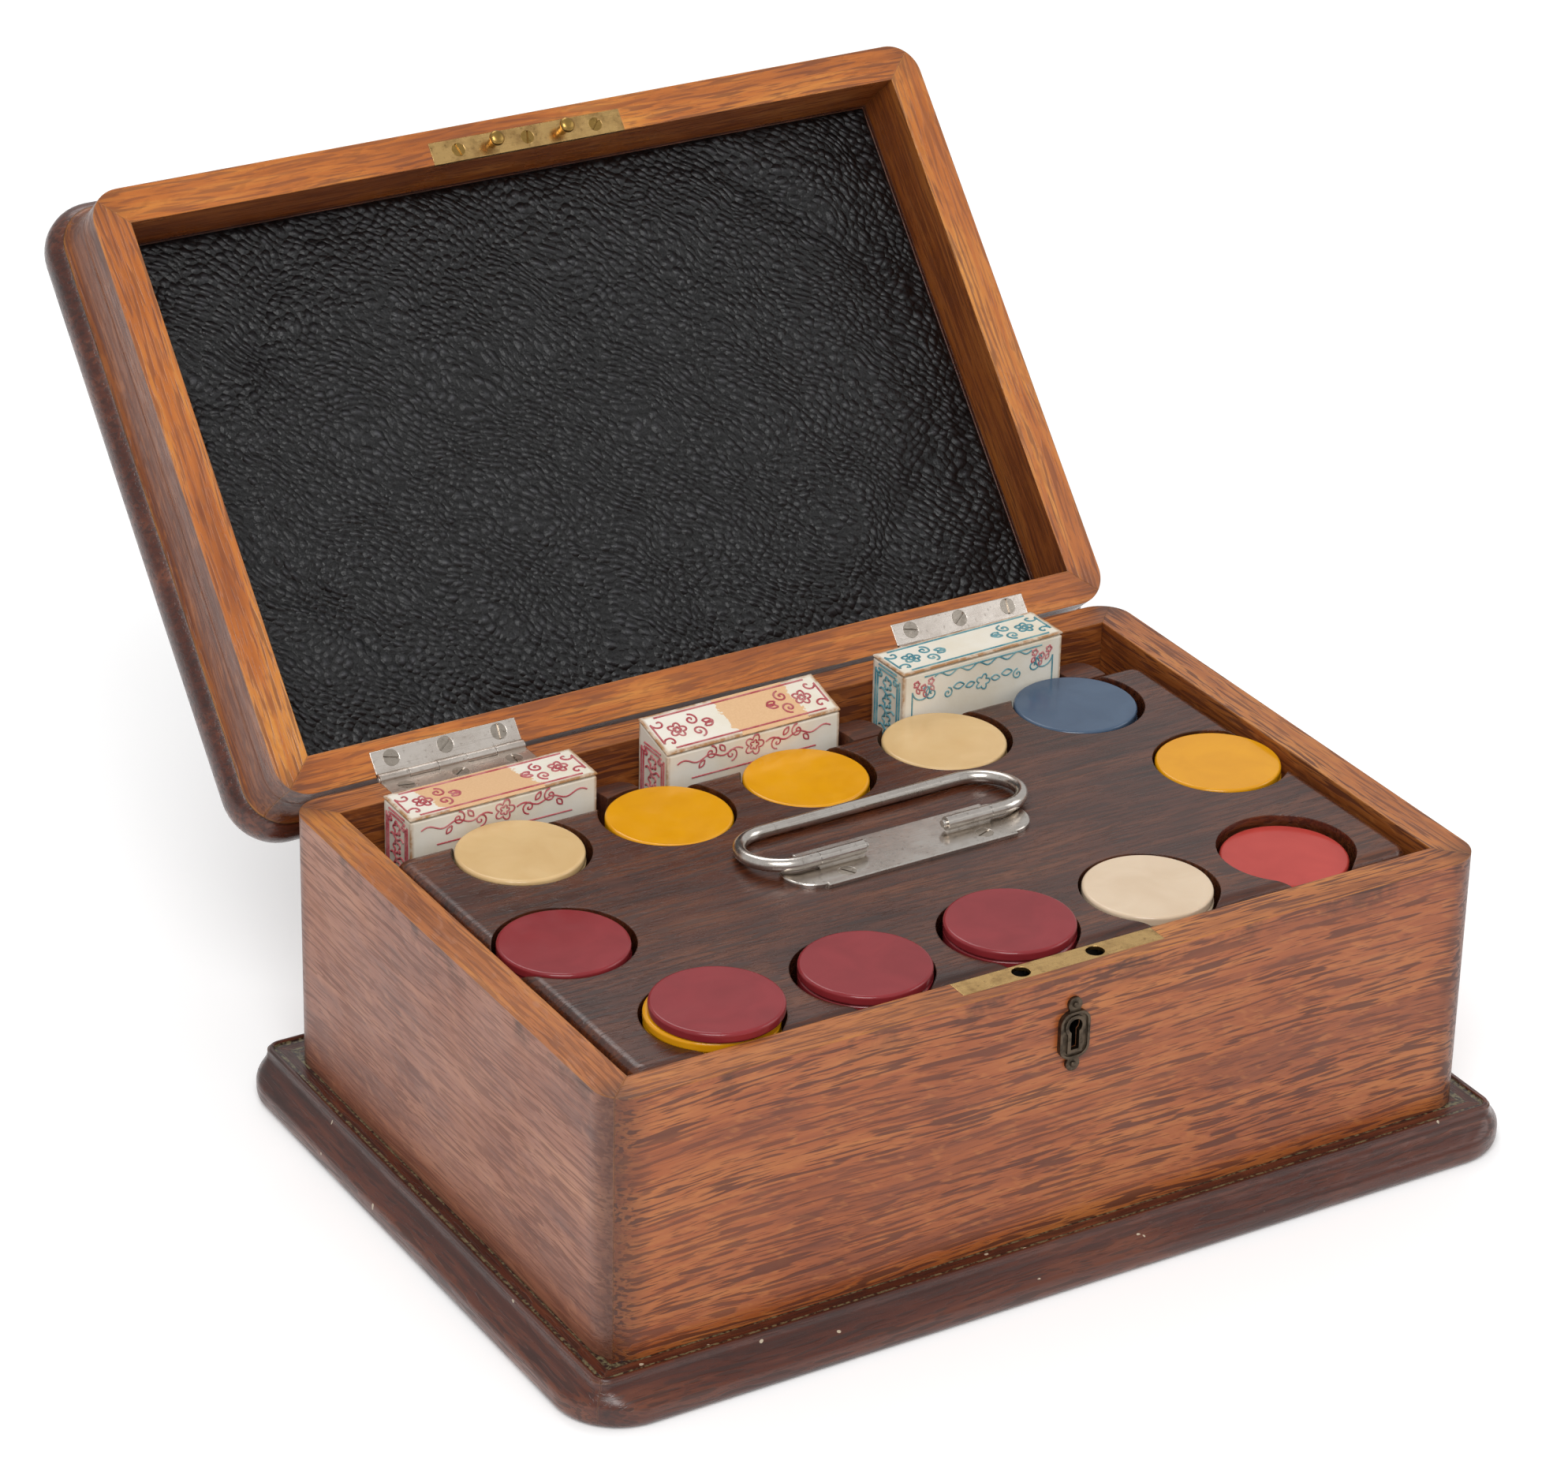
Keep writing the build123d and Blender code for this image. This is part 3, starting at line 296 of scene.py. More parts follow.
def polish(tree, shader, colour, scuffs, pores, streaks, eased, gloss, coat):
    """Shellac rubbed into the grain: clear on the high places, sunk and duller in the pores."""
    rough = add(tree, "MapRange", [scuffs, 0.3, 0.75, gloss[0], gloss[1]])
    rough = add(tree, "Math", [pores, 0.12, rough], operation="MULTIPLY_ADD")
    relief = add(tree, "Math", [streaks, 0.35], operation="MULTIPLY")
    relief = add(tree, "Math", [relief, pores], operation="SUBTRACT")
    bump = add(tree, "Bump", {"Strength": 0.45, "Distance": 0.14 * MM, "Height": relief, "Normal": eased})
    finish(tree, shader, colour, rough, bump, Coat_Weight=coat, Coat_Roughness=0.2)


def shellacked_oak(name, outside, face, grain, on_lid=False, handled=0.6, keyhole=False, depth=0.8,
                   coat=0.1, gloss=(0.3, 0.5)):
    """Oak, sawn, stained and shellacked. The eye gets an orange-brown ground with long dark pores in
    rows, pale ray flecks across them, darker insides, and a darker band towards the upright corners."""
    made, tree, shader = new_material(name)
    shut = shut_place(tree, on_lid)
    split = add(tree, "SeparateXYZ", [shut])
    place = grain_place(tree, shut, grain)
    tone, rings, streaks = grain_tone(tree, place)
    pores = open_pores(tree, place, rings, *OAK_PORES)
    # The outside, the inside and the rim each took the stain and the light of years differently
    past = past_sides(tree, split, INNER_HALF_LENGTH, INNER_HALF_DEPTH)
    past_inner = add(tree, "Math", past, operation="MAXIMUM")
    inside = add(tree, "Math", [past_inner, 0.05 * MM], operation="LESS_THAN")
    ground = add(tree, "ValToRGB", [tone], ramp=shades(*outside))
    over = add(tree, "ValToRGB", [tone], ramp=shades(*OAK_INNER))
    colour = add(tree, "Mix", {0: inside, 6: ground, 7: over}, data_type="RGBA")
    height = add(tree, "Math", [split.outputs[2], RIM_HEIGHT * MM], operation="SUBTRACT")
    from_rim = add(tree, "Math", [height], operation="ABSOLUTE")
    on_rim = add(tree, "MapRange", [from_rim, 0.3 * MM, 0.6 * MM, 1.0, 0.0])
    over = add(tree, "ValToRGB", [tone], ramp=shades(*face))
    colour = add(tree, "Mix", {0: on_rim, 6: colour, 7: over}, data_type="RGBA")
    slant = add(tree, "Mapping", {"Vector": place, "Rotation": (0, math.radians(-20), math.radians(16))})
    rays = stretched_noise(tree, slant, *RAY_FLECKS, detail=2.0)
    rays = add(tree, "MapRange", [rays, 0.56, 0.66, 0.0, 0.4])
    colour = add(tree, "Mix", {0: rays, 6: colour, 7: outside[2]}, data_type="RGBA")
    sunk = add(tree, "Math", [pores, depth], operation="MULTIPLY")
    colour = add(tree, "Mix", {0: sunk, 6: colour, 7: OAK_PORE}, data_type="RGBA")
    scuffs = add(tree, "TexNoise", {"Vector": place, "Scale": 1 / (SCUFF * MM), "Detail": 5.0,
                                    "Roughness": 0.65})
    # The outside darkens towards the upright corners, and hands leave grime in smudges just under the rim
    past = past_sides(tree, split, OUTER_HALF_LENGTH, OUTER_HALF_DEPTH)
    corner = add(tree, "Math", past, operation="MINIMUM")
    # Darker towards the upright corners, over the last 13 millimetres before them
    held = add(tree, "MapRange", [corner, -13 * MM, -4 * MM, 0.0, handled])
    smudge = add(tree, "MapRange", [scuffs, 0.5, 0.6])
    below = add(tree, "MapRange", [from_rim, 2 * MM, 9 * MM, handled, 0.0])
    smudge = add(tree, "Math", [smudge, below], operation="MULTIPLY")
    clean = add(tree, "Math", [inside, on_rim], operation="MAXIMUM")
    outer = add(tree, "Math", [1.0, clean], operation="SUBTRACT")
    smudge = add(tree, "Math", [smudge, outer], operation="MULTIPLY")
    amount = add(tree, "Math", [held, smudge], operation="MAXIMUM")
    colour = add(tree, "Mix", {0: amount, 6: colour, 7: GRIME_AND_SHADE}, data_type="RGBA")
    eased, edge = eased_edges(tree, WORN_AND_HIGHLIT_EDGE)
    patchy = add(tree, "MapRange", [scuffs, 0.42, 0.6, 0.15, 0.6])
    amount = add(tree, "Math", [edge, patchy], operation="MULTIPLY")
    colour = add(tree, "Mix", {0: amount, 6: colour, 7: face[2]}, data_type="RGBA")
    if keyhole:
        # Nothing lights the tunnel behind the keyhole
        centre = (-KEYHOLE[0] * MM, 0, -KEYHOLE[1] * MM)
        near = add(tree, "VectorMath", [shut, centre], operation="ADD")
        near = add(tree, "VectorMath", [near, (1, 0, 0.55)], operation="MULTIPLY")
        away = add(tree, "VectorMath", [near], operation="LENGTH").outputs["Value"]
        bored = add(tree, "Math", [away, KEY_TUNNEL * MM], operation="LESS_THAN")
        skin = (0.15 - OUTER_HALF_DEPTH) * MM
        deep = add(tree, "Math", [split.outputs[1], skin], operation="GREATER_THAN")
        amount = add(tree, "Math", [bored, deep], operation="MULTIPLY")
        colour = add(tree, "Mix", {0: amount, 6: colour, 7: TUNNEL}, data_type="RGBA")
    polish(tree, shader, colour, scuffs, pores, streaks, eased, gloss, coat)
    return made


def polished_mahogany(name, three, pore, grain, on_lid=False, rubbed=0.5, coat=0.3, gloss=(0.2, 0.4),
                      ledge=False):
    """Mahogany, moulded, stained dark and French polished. The eye gets a red-brown gloss over fine
    broken pores, rubbed pale along the edges, partly as a painted highlight, with dust, painted shade and
    flecks where the plinth's ledge holds them."""
    made, tree, shader = new_material(name)
    shut = shut_place(tree, on_lid)
    place = grain_place(tree, shut, grain)
    tone, rings, streaks = grain_tone(tree, place)
    pores = open_pores(tree, place, rings, *MAHOGANY_PORES)
    sunk = add(tree, "Math", [pores, 0.55], operation="MULTIPLY")
    ground = add(tree, "ValToRGB", [tone], ramp=shades(*three))
    colour = add(tree, "Mix", {0: sunk, 6: ground, 7: pore}, data_type="RGBA")
    scuffs = add(tree, "TexNoise", {"Vector": place, "Scale": 1 / (SCUFF * MM), "Detail": 5.0,
                                    "Roughness": 0.65})
    # The pale colour along the rounded edges is partly wear and partly a painted highlight, the thin bright
    # line that light draws along them
    eased, edge = eased_edges(tree, WORN_AND_HIGHLIT_EDGE)
    patchy = add(tree, "MapRange", [scuffs, 0.38, 0.62, 0.3 * rubbed, rubbed])
    amount = add(tree, "Math", [edge, patchy], operation="MULTIPLY")
    colour = add(tree, "Mix", {0: amount, 6: colour, 7: MOULDING_RUBBED_AND_HIGHLIT}, data_type="RGBA")
    if ledge:
        split = add(tree, "SeparateXYZ", [shut])
        past = past_sides(tree, split, OUTER_HALF_LENGTH, OUTER_HALF_DEPTH)
        out = add(tree, "Math", past, operation="MAXIMUM")
        # Dust and painted shade lie in the groove by the bead and along the foot of the boards: the line
        # mixes pale dust with a dark colour painted as the shade of the crease
        groove = add(tree, "Math", [out, LEDGE_GROOVE * MM, 0.7 * MM], operation="COMPARE")
        foot = add(tree, "Math", [out, LEDGE_FOOT * MM, 1.0 * MM], operation="COMPARE")
        lined = add(tree, "Math", [groove, foot], operation="MAXIMUM")
        height = split.outputs[2]
        level = add(tree, "Math", [height, LEDGE_HEIGHT * MM, LEDGE_BAND * MM], operation="COMPARE")
        lined = add(tree, "Math", [lined, level], operation="MULTIPLY")
        crumbs = add(tree, "TexNoise", {"Vector": place, "Scale": 1 / (CRUMB * MM), "Detail": 2.0})
        amount = add(tree, "MapRange", [crumbs, 0.42, 0.6])
        dust = add(tree, "Mix", {0: amount, 6: GRIME_AND_SHADE, 7: DUST}, data_type="RGBA")
        colour = add(tree, "Mix", {0: lined, 6: colour, 7: dust}, data_type="RGBA")
        flecks = add(tree, "TexNoise", {"Vector": place, "Scale": 1 / (FLECK * MM), "Detail": 0.0})
        amount = add(tree, "MapRange", [flecks, 0.845, 0.855, 0.0, 0.7])
        colour = add(tree, "Mix", {0: amount, 6: colour, 7: SPECK}, data_type="RGBA")
    polish(tree, shader, colour, scuffs, pores, streaks, eased, gloss, coat)
    return made


def metal(name, bright, tarnish, roughness, spread=0.35, patch=9.0, edge=0.35):
    """Sheet or turned metal, once polished. The eye gets a bright ground that sways as sheet does, duller
    patches of tarnish, dark specks and fine scratches along its length."""
    made, tree, shader = new_material(name)
    place = add(tree, "TexCoord").outputs["Object"]
    patches = add(tree, "TexNoise", {"Vector": place, "Scale": 1 / (patch * MM), "Detail": 6.0,
                                     "Roughness": 0.62})
    scratches = stretched_noise(tree, place, 14, 0.28, detail=2.0)
    specks = add(tree, "TexNoise", {"Vector": place, "Scale": 1 / (1.4 * MM), "Detail": 3.0})
    dull = add(tree, "MapRange", [patches, 0.44, 0.66, 0.0, spread])
    dark = add(tree, "MapRange", [specks, 0.6, 0.72, 0.0, 0.35])
    amount = add(tree, "Math", [dull, dark], operation="ADD")
    shade = add(tree, "Mix", {0: amount, 6: bright, 7: tarnish}, data_type="RGBA")
    amount = add(tree, "MapRange", [scratches, 0.58, 0.7, 0.0, 0.25])
    shade = add(tree, "Mix", {0: amount, 6: shade, 7: tarnish}, data_type="RGBA")
    rough = add(tree, "MapRange", [patches, 0.35, 0.7, roughness, roughness + 0.2])
    eased = add(tree, "Bevel", {"Radius": edge * MM}, samples=4)
    sway = add(tree, "Bump", {"Strength": 0.35, "Distance": 0.12 * MM, "Height": patches, "Normal": eased})
    bump = add(tree, "Bump", {"Strength": 0.25, "Distance": 0.03 * MM, "Height": scratches, "Normal": sway})
    finish(tree, shader, shade, rough, bump, Metallic=1.0)
    return made


def moulded_plastic(name, body, cloud, glow):
    """Casein or phenolic chips, pressed in moulds and tumbled. The eye gets one even colour with faint
    clouds, a soft gloss and a few specks."""
    made, tree, shader = new_material(name)
    place = add(tree, "TexCoord").outputs["Object"]
    drift = add(tree, "TexNoise", {"Vector": place, "Scale": 1 / (16 * MM), "Detail": 4.0,
                                   "Distortion": 0.8})
    amount = add(tree, "MapRange", [drift, 0.35, 0.65])
    colour = add(tree, "Mix", {0: amount, 6: cloud, 7: body}, data_type="RGBA")
    specks = add(tree, "TexNoise", {"Vector": place, "Scale": 1 / (1.1 * MM), "Detail": 2.0})
    amount = add(tree, "MapRange", [specks, 0.68, 0.76, 0.0, 0.25])
    colour = add(tree, "Mix", {0: amount, 6: colour, 7: cloud}, data_type="RGBA")
    rubs = add(tree, "TexNoise", {"Vector": place, "Scale": 1 / (9 * MM), "Detail": 5.0, "Roughness": 0.6})
    rough = add(tree, "MapRange", [rubs, 0.35, 0.7, 0.13, 0.26])
    hairs = stretched_noise(tree, place, 12, 0.3, detail=1.0)
    bump = add(tree, "Bump", {"Strength": 0.06, "Distance": 0.02 * MM, "Height": hairs})
    finish(tree, shader, colour, rough, bump, ior=1.5, Specular_IOR_Level=0.4, Subsurface_Weight=glow,
           Subsurface_Radius=(1.0, 0.6, 0.35), Subsurface_Scale=0.8 * MM)
    return made


def pebbled_leathercloth():
    """Cotton cloth coated and embossed as leather. The eye gets black pebbles in slanting rows, each
    with a dull sheen on its top and a deep valley round it painted near black as shade, and the tops
    painted greyer in places, partly as wear and partly as a painted highlight."""
    made, tree, shader = new_material("pebbled_leathercloth")
    place = shut_place(tree, True)
    # The pebbles lie in rows that run aslant from the front left to the hinge side
    turned = add(tree, "Mapping", {"Vector": place, "Rotation": (0, 0, math.radians(PEBBLE_ROWS))})
    wobble = add(tree, "TexNoise", {"Vector": turned, "Scale": 1 / (30 * MM), "Detail": 2.0})
    wobble = add(tree, "VectorMath", {0: wobble.outputs["Color"], "Scale": 14 * MM}, operation="SCALE")
    turned = add(tree, "VectorMath", [turned, wobble], operation="ADD")
    scale = (1 / (PEBBLE[0] * MM), 1 / (PEBBLE[1] * MM), 1 / (30 * MM))
    cells = add(tree, "Mapping", {"Vector": turned, "Scale": scale})
    pebbles = add(tree, "TexVoronoi", {"Vector": cells, "Scale": 1.0, "Randomness": 0.6})
    share = add(tree, "SeparateColor", [pebbles.outputs["Color"]])
    raised = add(tree, "MapRange", [pebbles.outputs["Distance"], 0.12, 0.72, 1.0, 0.0])
    fine = add(tree, "TexNoise", {"Vector": place, "Scale": 1 / (1.1 * MM), "Detail": 3.0})
    worn = add(tree, "TexNoise", {"Vector": place, "Scale": 1 / (38 * MM), "Detail": 4.0, "Roughness": 0.6})
    # Pebble tops in some cells and patches are painted lighter grey: partly wear, partly a painted
    # highlight on the crests
    tops = add(tree, "MapRange", [raised, 0.5, 1.0])
    rubbed = add(tree, "MapRange", [share, 0.2, 1.0, 0.1, 0.8])
    rubbed = add(tree, "Math", [rubbed, tops], operation="MULTIPLY")
    some = add(tree, "MapRange", [worn, 0.4, 0.62, 0.3, 1.0])
    rubbed = add(tree, "Math", [rubbed, some], operation="MULTIPLY")
    # Painted shade: the valleys round the pebbles are coloured near black, as light would not reach them
    body = add(tree, "MapRange", [raised, 0.1, 0.6])
    ground = add(tree, "Mix", {0: body, 6: LEATHER_VALLEY_SHADE, 7: LEATHER}, data_type="RGBA")
    colour = add(tree, "Mix", {0: rubbed, 6: ground, 7: LEATHER_WORN_AND_HIGHLIT}, data_type="RGBA")
    rough = add(tree, "MapRange", [worn, 0.3, 0.7, 0.34, 0.46])
    stand = add(tree, "MapRange", [share, 0.0, 1.0, 0.6, 1.0])
    height = add(tree, "Math", [raised, stand], operation="MULTIPLY")
    height = add(tree, "Math", [fine, 0.35, height], operation="MULTIPLY_ADD")
    bump = add(tree, "Bump", {"Strength": 1.0, "Distance": PEBBLE_DEPTH * MM, "Height": height})
    finish(tree, shader, colour, rough, bump, ior=1.45, Specular_IOR_Level=0.45)
    return made


def pack_matrix(pack):
    """From a pack's own place, its foot's middle at the origin, to where it stands, in metres."""
    carrier = Matrix.Rotation(math.radians(CARRIER_TURN), 4, "Z")
    stand = Matrix.Translation(Vector((pack["middle"], PACK_MIDDLE_Y, PACK_FLOOR)) * MM)
    return carrier @ stand @ Matrix.Rotation(math.radians(pack["turn"]), 4, "Z")


def carton_board(name, pack, torn):
    """Pasteboard with a coated white face, cut, folded and glued. The eye gets a yellowed cream, brown
    where the folds are rubbed through, and bare buff board where a seal tore the face off the top.
    Torn is where that begins and ends as shares of the width, and how far its edges slant."""
    made, tree, shader = new_material(name)
    place = turned_back(tree, add(tree, "TexCoord").outputs["Object"], pack_matrix(pack))
    split = add(tree, "SeparateXYZ", [place])
    top = (BLOCK_TOP + pack["proud"] - PACK_FLOOR) * MM
    slope = pack["rise"] / PACK_THICKNESS
    size_x = add(tree, "Math", [split.outputs[0]], operation="ABSOLUTE")
    size_y = add(tree, "Math", [split.outputs[1]], operation="ABSOLUTE")
    from_side = add(tree, "Math", [pack["width"] / 2 * MM, size_x], operation="SUBTRACT")
    from_face = add(tree, "Math", [PACK_THICKNESS / 2 * MM, size_y], operation="SUBTRACT")
    middle_top = top + pack["rise"] / 2 * MM
    lid = add(tree, "Math", [split.outputs[1], slope, middle_top], operation="MULTIPLY_ADD")
    from_top = add(tree, "Math", [lid, split.outputs[2]], operation="SUBTRACT")
    from_end = add(tree, "Math", [from_top, split.outputs[2]], operation="MINIMUM")
    # The second smallest of the three distances is how far a point is from the nearest fold
    low = add(tree, "Math", [from_side, from_face], operation="MINIMUM")
    high = add(tree, "Math", [from_side, from_face], operation="MAXIMUM")
    middle = add(tree, "Math", [high, from_end], operation="MINIMUM")
    fold = add(tree, "Math", [low, middle], operation="MAXIMUM")
    rub = add(tree, "TexNoise", {"Vector": place, "Scale": 1 / (3.5 * MM), "Detail": 4.0, "Roughness": 0.7})
    age = add(tree, "TexNoise", {"Vector": place, "Scale": 1 / (17 * MM), "Detail": 5.0})
    fibre = add(tree, "TexNoise", {"Vector": place, "Scale": 1 / (0.6 * MM), "Detail": 3.0})
    amount = add(tree, "MapRange", [age, 0.42, 0.68, 0.0, 0.6])
    colour = add(tree, "Mix", {0: amount, 6: CARTON_CREAM, 7: CARTON_AGED}, data_type="RGBA")
    folded = add(tree, "MapRange", [fold, 0.4 * MM, 1.5 * MM, 1.0, 0.0])
    patchy = add(tree, "MapRange", [rub, 0.34, 0.55, 0.35, 1.0])
    amount = add(tree, "Math", [folded, patchy], operation="MULTIPLY")
    colour = add(tree, "Mix", {0: amount, 6: colour, 7: CARTON_FOLD}, data_type="RGBA")
    if torn:
        ragged = add(tree, "Math", [rub, 9 * MM, -4.5 * MM], operation="MULTIPLY_ADD")
        along = add(tree, "Math", [split.outputs[1], torn[2], split.outputs[0]], operation="MULTIPLY_ADD")
        along = add(tree, "Math", [along, ragged], operation="ADD")
        middle = ((torn[0] + torn[1]) / 2 - 0.5) * pack["width"] * MM
        reach = (torn[1] - torn[0]) / 2 * pack["width"] * MM
        bare = add(tree, "Math", [along, middle, reach], operation="COMPARE")
        on_top = add(tree, "Math", [from_top, 0.25 * MM], operation="LESS_THAN")
        bare = add(tree, "Math", [bare, on_top], operation="MULTIPLY")
        over = add(tree, "Mix", {0: fibre, 6: CARTON_TORN[0], 7: CARTON_TORN[1]}, data_type="RGBA")
        colour = add(tree, "Mix", {0: bare, 6: colour, 7: over}, data_type="RGBA")
    rough = add(tree, "MapRange", [age, 0.3, 0.7, 0.55, 0.78])
    relief = add(tree, "Math", [fibre, rub], operation="ADD")
    bump = add(tree, "Bump", {"Strength": 0.35, "Distance": 0.06 * MM, "Height": relief})
    finish(tree, shader, colour, rough, bump, ior=1.45)
    return made


def printing_ink(name, colour, faded):
    """Letterpress ink on board. The eye gets a flat colour, thin and broken where it is rubbed."""
    made, tree, shader = new_material(name)
    place = add(tree, "TexCoord").outputs["Object"]
    rub = add(tree, "TexNoise", {"Vector": place, "Scale": 1 / (5 * MM), "Detail": 4.0})
    grain = add(tree, "TexNoise", {"Vector": place, "Scale": 1 / (0.5 * MM), "Detail": 2.0})
    worn = add(tree, "MapRange", [rub, 0.42, 0.7, 0.0, 0.6])
    shade = add(tree, "Mix", {0: worn, 6: colour, 7: faded}, data_type="RGBA")
    amount = add(tree, "MapRange", [grain, 0.5, 0.7, 0.0, 0.3])
    shade = add(tree, "Mix", {0: amount, 6: shade, 7: faded}, data_type="RGBA")
    rough = add(tree, "MapRange", [rub, 0.3, 0.7, 0.5, 0.7])
    bump = add(tree, "Bump", {"Strength": 0.2, "Distance": 0.02 * MM, "Height": grain})
    finish(tree, shader, shade, rough, bump, ior=1.45)
    return made


def playing_card_stock():
    """Cards cut from pasteboard. The eye gets the deck's edges as thin layers, each a shade apart."""
    made, tree, shader = new_material("playing_card_stock")
    place = add(tree, "TexCoord").outputs["Object"]
    scale = (1 / (90 * MM), 1 / (0.3 * MM), 1 / (90 * MM))
    layers = add(tree, "Mapping", {"Vector": place, "Scale": scale})
    shade = add(tree, "TexNoise", {"Vector": layers, "Scale": 1.0, "Detail": 2.0})
    amount = add(tree, "MapRange", [shade, 0.4, 0.6])
    colour = add(tree, "Mix", {0: amount, 6: "#cfc4ac", 7: "#eee6d2"}, data_type="RGBA")
    rough = add(tree, "MapRange", [shade, 0.3, 0.7, 0.55, 0.7])
    bump = add(tree, "Bump", {"Strength": 0.4, "Distance": 0.05 * MM, "Height": shade})
    finish(tree, shader, colour, rough, bump, ior=1.45)
    return made


# Pieces

def finished(name, bm, material, smooth=True):
    """Makes an object of a bmesh whose points are in metres and in place."""
    mesh = bpy.data.meshes.new(name)
    bm.to_mesh(mesh)
    bm.free()
    mesh.materials.append(material)
    for polygon in mesh.polygons:
        polygon.use_smooth = smooth
    piece = bpy.data.objects.new(name, mesh)
    bpy.context.scene.collection.objects.link(piece)
    return piece


def slack_sheet():
    """The pad's face, laid flat with its middle at the origin: leather cut a little large, fixed along
    its edges and pushed up by its wadding in a cloth simulation. Its points are in metres."""
    half_x = (INNER_HALF_LENGTH - PAD_GAP) * MM
    half_y = (INNER_HALF_DEPTH - PAD_GAP) * MM
    cell = PAD_CELL * MM
    bm = bmesh.new()
    across = round(2 * half_x / cell)
    deep = round(2 * half_y / cell)
    bmesh.ops.create_grid(bm, x_segments=across, y_segments=deep, size=0.5)
    bmesh.ops.scale(bm, vec=(2 * half_x, 2 * half_y, 1), verts=bm.verts)
    flat = bpy.data.meshes.new("sheet")
    bm.to_mesh(flat)
    bm.free()
    sheet = bpy.data.objects.new("sheet", flat)
    bpy.context.scene.collection.objects.link(sheet)
    fixed = sheet.vertex_groups.new(name="fixed")
    rim = [v.index for v in flat.vertices
           if half_x - abs(v.co.x) < 0.5 * cell or half_y - abs(v.co.y) < 0.5 * cell]
    fixed.add(rim, 1.0, "REPLACE")
    cloth = sheet.modifiers.new("cloth", "CLOTH")
    cloth.settings.vertex_group_mass = "fixed"
    cloth.settings.shrink_min = -PAD_SLACK
    cloth.settings.use_pressure = True
    cloth.settings.uniform_pressure_force = PAD_PRESSURE
    cloth.settings.effector_weights.gravity = 0
    cloth.point_cache.frame_end = PAD_FRAMES
    for number in range(1, PAD_FRAMES + 1):
        bpy.context.scene.frame_set(number)
    smooth = sheet.modifiers.new("smooth", "SUBSURF")
    smooth.levels = 1
    smooth.render_levels = 1
    mesh = bpy.data.meshes.new_from_object(sheet.evaluated_get(bpy.context.evaluated_depsgraph_get()))
    bpy.data.objects.remove(sheet)
    bpy.context.scene.frame_set(1)
    return mesh


def pad_height(x, y, lift):
    """How far the leather stands out from its bed, in millimetres: rolled down at the edges, crowned,
    with soft puckers where it was pulled over the edge, and the simulated lift, held to a cap."""
    half_x = INNER_HALF_LENGTH - PAD_GAP
    half_y = INNER_HALF_DEPTH - PAD_GAP
    edge = max(0.0, min(half_x - abs(x), half_y - abs(y)))
    roll = math.sqrt(max(0.0, 1 - (1 - min(edge, PAD_ROLL) / PAD_ROLL) ** 2))
    crown = PAD_CROWN * (1 - (x / half_x) ** 2) * (1 - (y / half_y) ** 2)
    along = x if half_y - abs(y) < half_x - abs(x) else y
    near = math.exp(-edge / PAD_PUCKER_LENGTH)
    spot = (along / PAD_PUCKER_WIDTH, edge / (3 * PAD_PUCKER_LENGTH), 3.0)
    pucker = noise.noise(spot) * PAD_PUCKER * near
    return roll * max(PAD_LEAST, PAD_EDGE + crown + pucker + PAD_CAP * math.tanh(lift / PAD_CAP))


def leather_pad(material):
    """The padded panel in the lid, made as it lies in the shut lid and then swung open."""
    face = slack_sheet()
    bm = bmesh.new()
    bm.from_mesh(face)
    bpy.data.meshes.remove(face)
    bmesh.ops.scale(bm, vec=(1 / MM, 1 / MM, 1 / MM), verts=bm.verts)
    lifts = {v: v.co.z for v in bm.verts}
    for v in bm.verts:
        v.co.z = 0
    bmesh.ops.duplicate(bm, geom=bm.faces[:])
    for v, lift in lifts.items():
        v.co.z = -pad_height(v.co.x, v.co.y, lift) - PAD_SKIN
    rims = [e for e in bm.edges if e.is_boundary]
    bmesh.ops.bridge_loops(bm, edges=rims)
    bmesh.ops.translate(bm, vec=(0, 0, LINING_BED), verts=bm.verts)
    bmesh.ops.scale(bm, vec=(MM, MM, MM), verts=bm.verts)
    bmesh.ops.transform(bm, matrix=swing_matrix(), verts=bm.verts)
    bmesh.ops.recalc_face_normals(bm, faces=bm.faces)
    pad = finished("leather_pad", bm, material)
    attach(pad, "lid")
    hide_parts("lid_lining")


def wedge(bm, width, depth, low, top, rise):
    """Adds a block whose top slopes up to the back, its edges rounded."""
    made = bmesh.ops.create_cube(bm, size=1.0)["verts"]
    for v in made:
        v.co.z = low if v.co.z < 0 else top + rise * (v.co.y + 0.5)
        v.co.x *= width
        v.co.y *= depth
    edges = {e for v in made for e in v.link_edges}
    bmesh.ops.bevel(bm, geom=list(edges), offset=CARTON_EDGE, segments=3, profile=0.5, affect="EDGES",
                    material=-1)


def carton(name, pack, material):
    """A tuck carton: the body, and the top flap that lies over it with a thin gap along the ends."""
    top = BLOCK_TOP + pack["proud"] - PACK_FLOOR
    bm = bmesh.new()
    shoulder = top - FLAP_THICKNESS - FLAP_GAP
    body_width = pack["width"] - BODY_INSET_X
    wedge(bm, body_width, PACK_THICKNESS - BODY_INSET_Y, FOOT_GAP, shoulder, pack["rise"])
    flap = bmesh.new()
    wedge(flap, pack["width"], PACK_THICKNESS, 0.0, FLAP_THICKNESS, 0.0)
    for v in flap.verts:
        v.co.z += top - FLAP_THICKNESS + pack["rise"] * (v.co.y / PACK_THICKNESS + 0.5)
    joined = bpy.data.meshes.new("flap")
    flap.to_mesh(joined)
    flap.free()
    bm.from_mesh(joined)
    bpy.data.meshes.remove(joined)
    bmesh.ops.scale(bm, vec=(MM, MM, MM), verts=bm.verts)
    bmesh.ops.transform(bm, matrix=pack_matrix(pack), verts=bm.verts)
    bmesh.ops.recalc_face_normals(bm, faces=bm.faces)
    piece = finished("tuck_carton_" + name, bm, material, smooth=False)
    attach(piece, "card_pack_" + name)
    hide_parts("carton_" + name)
    return piece


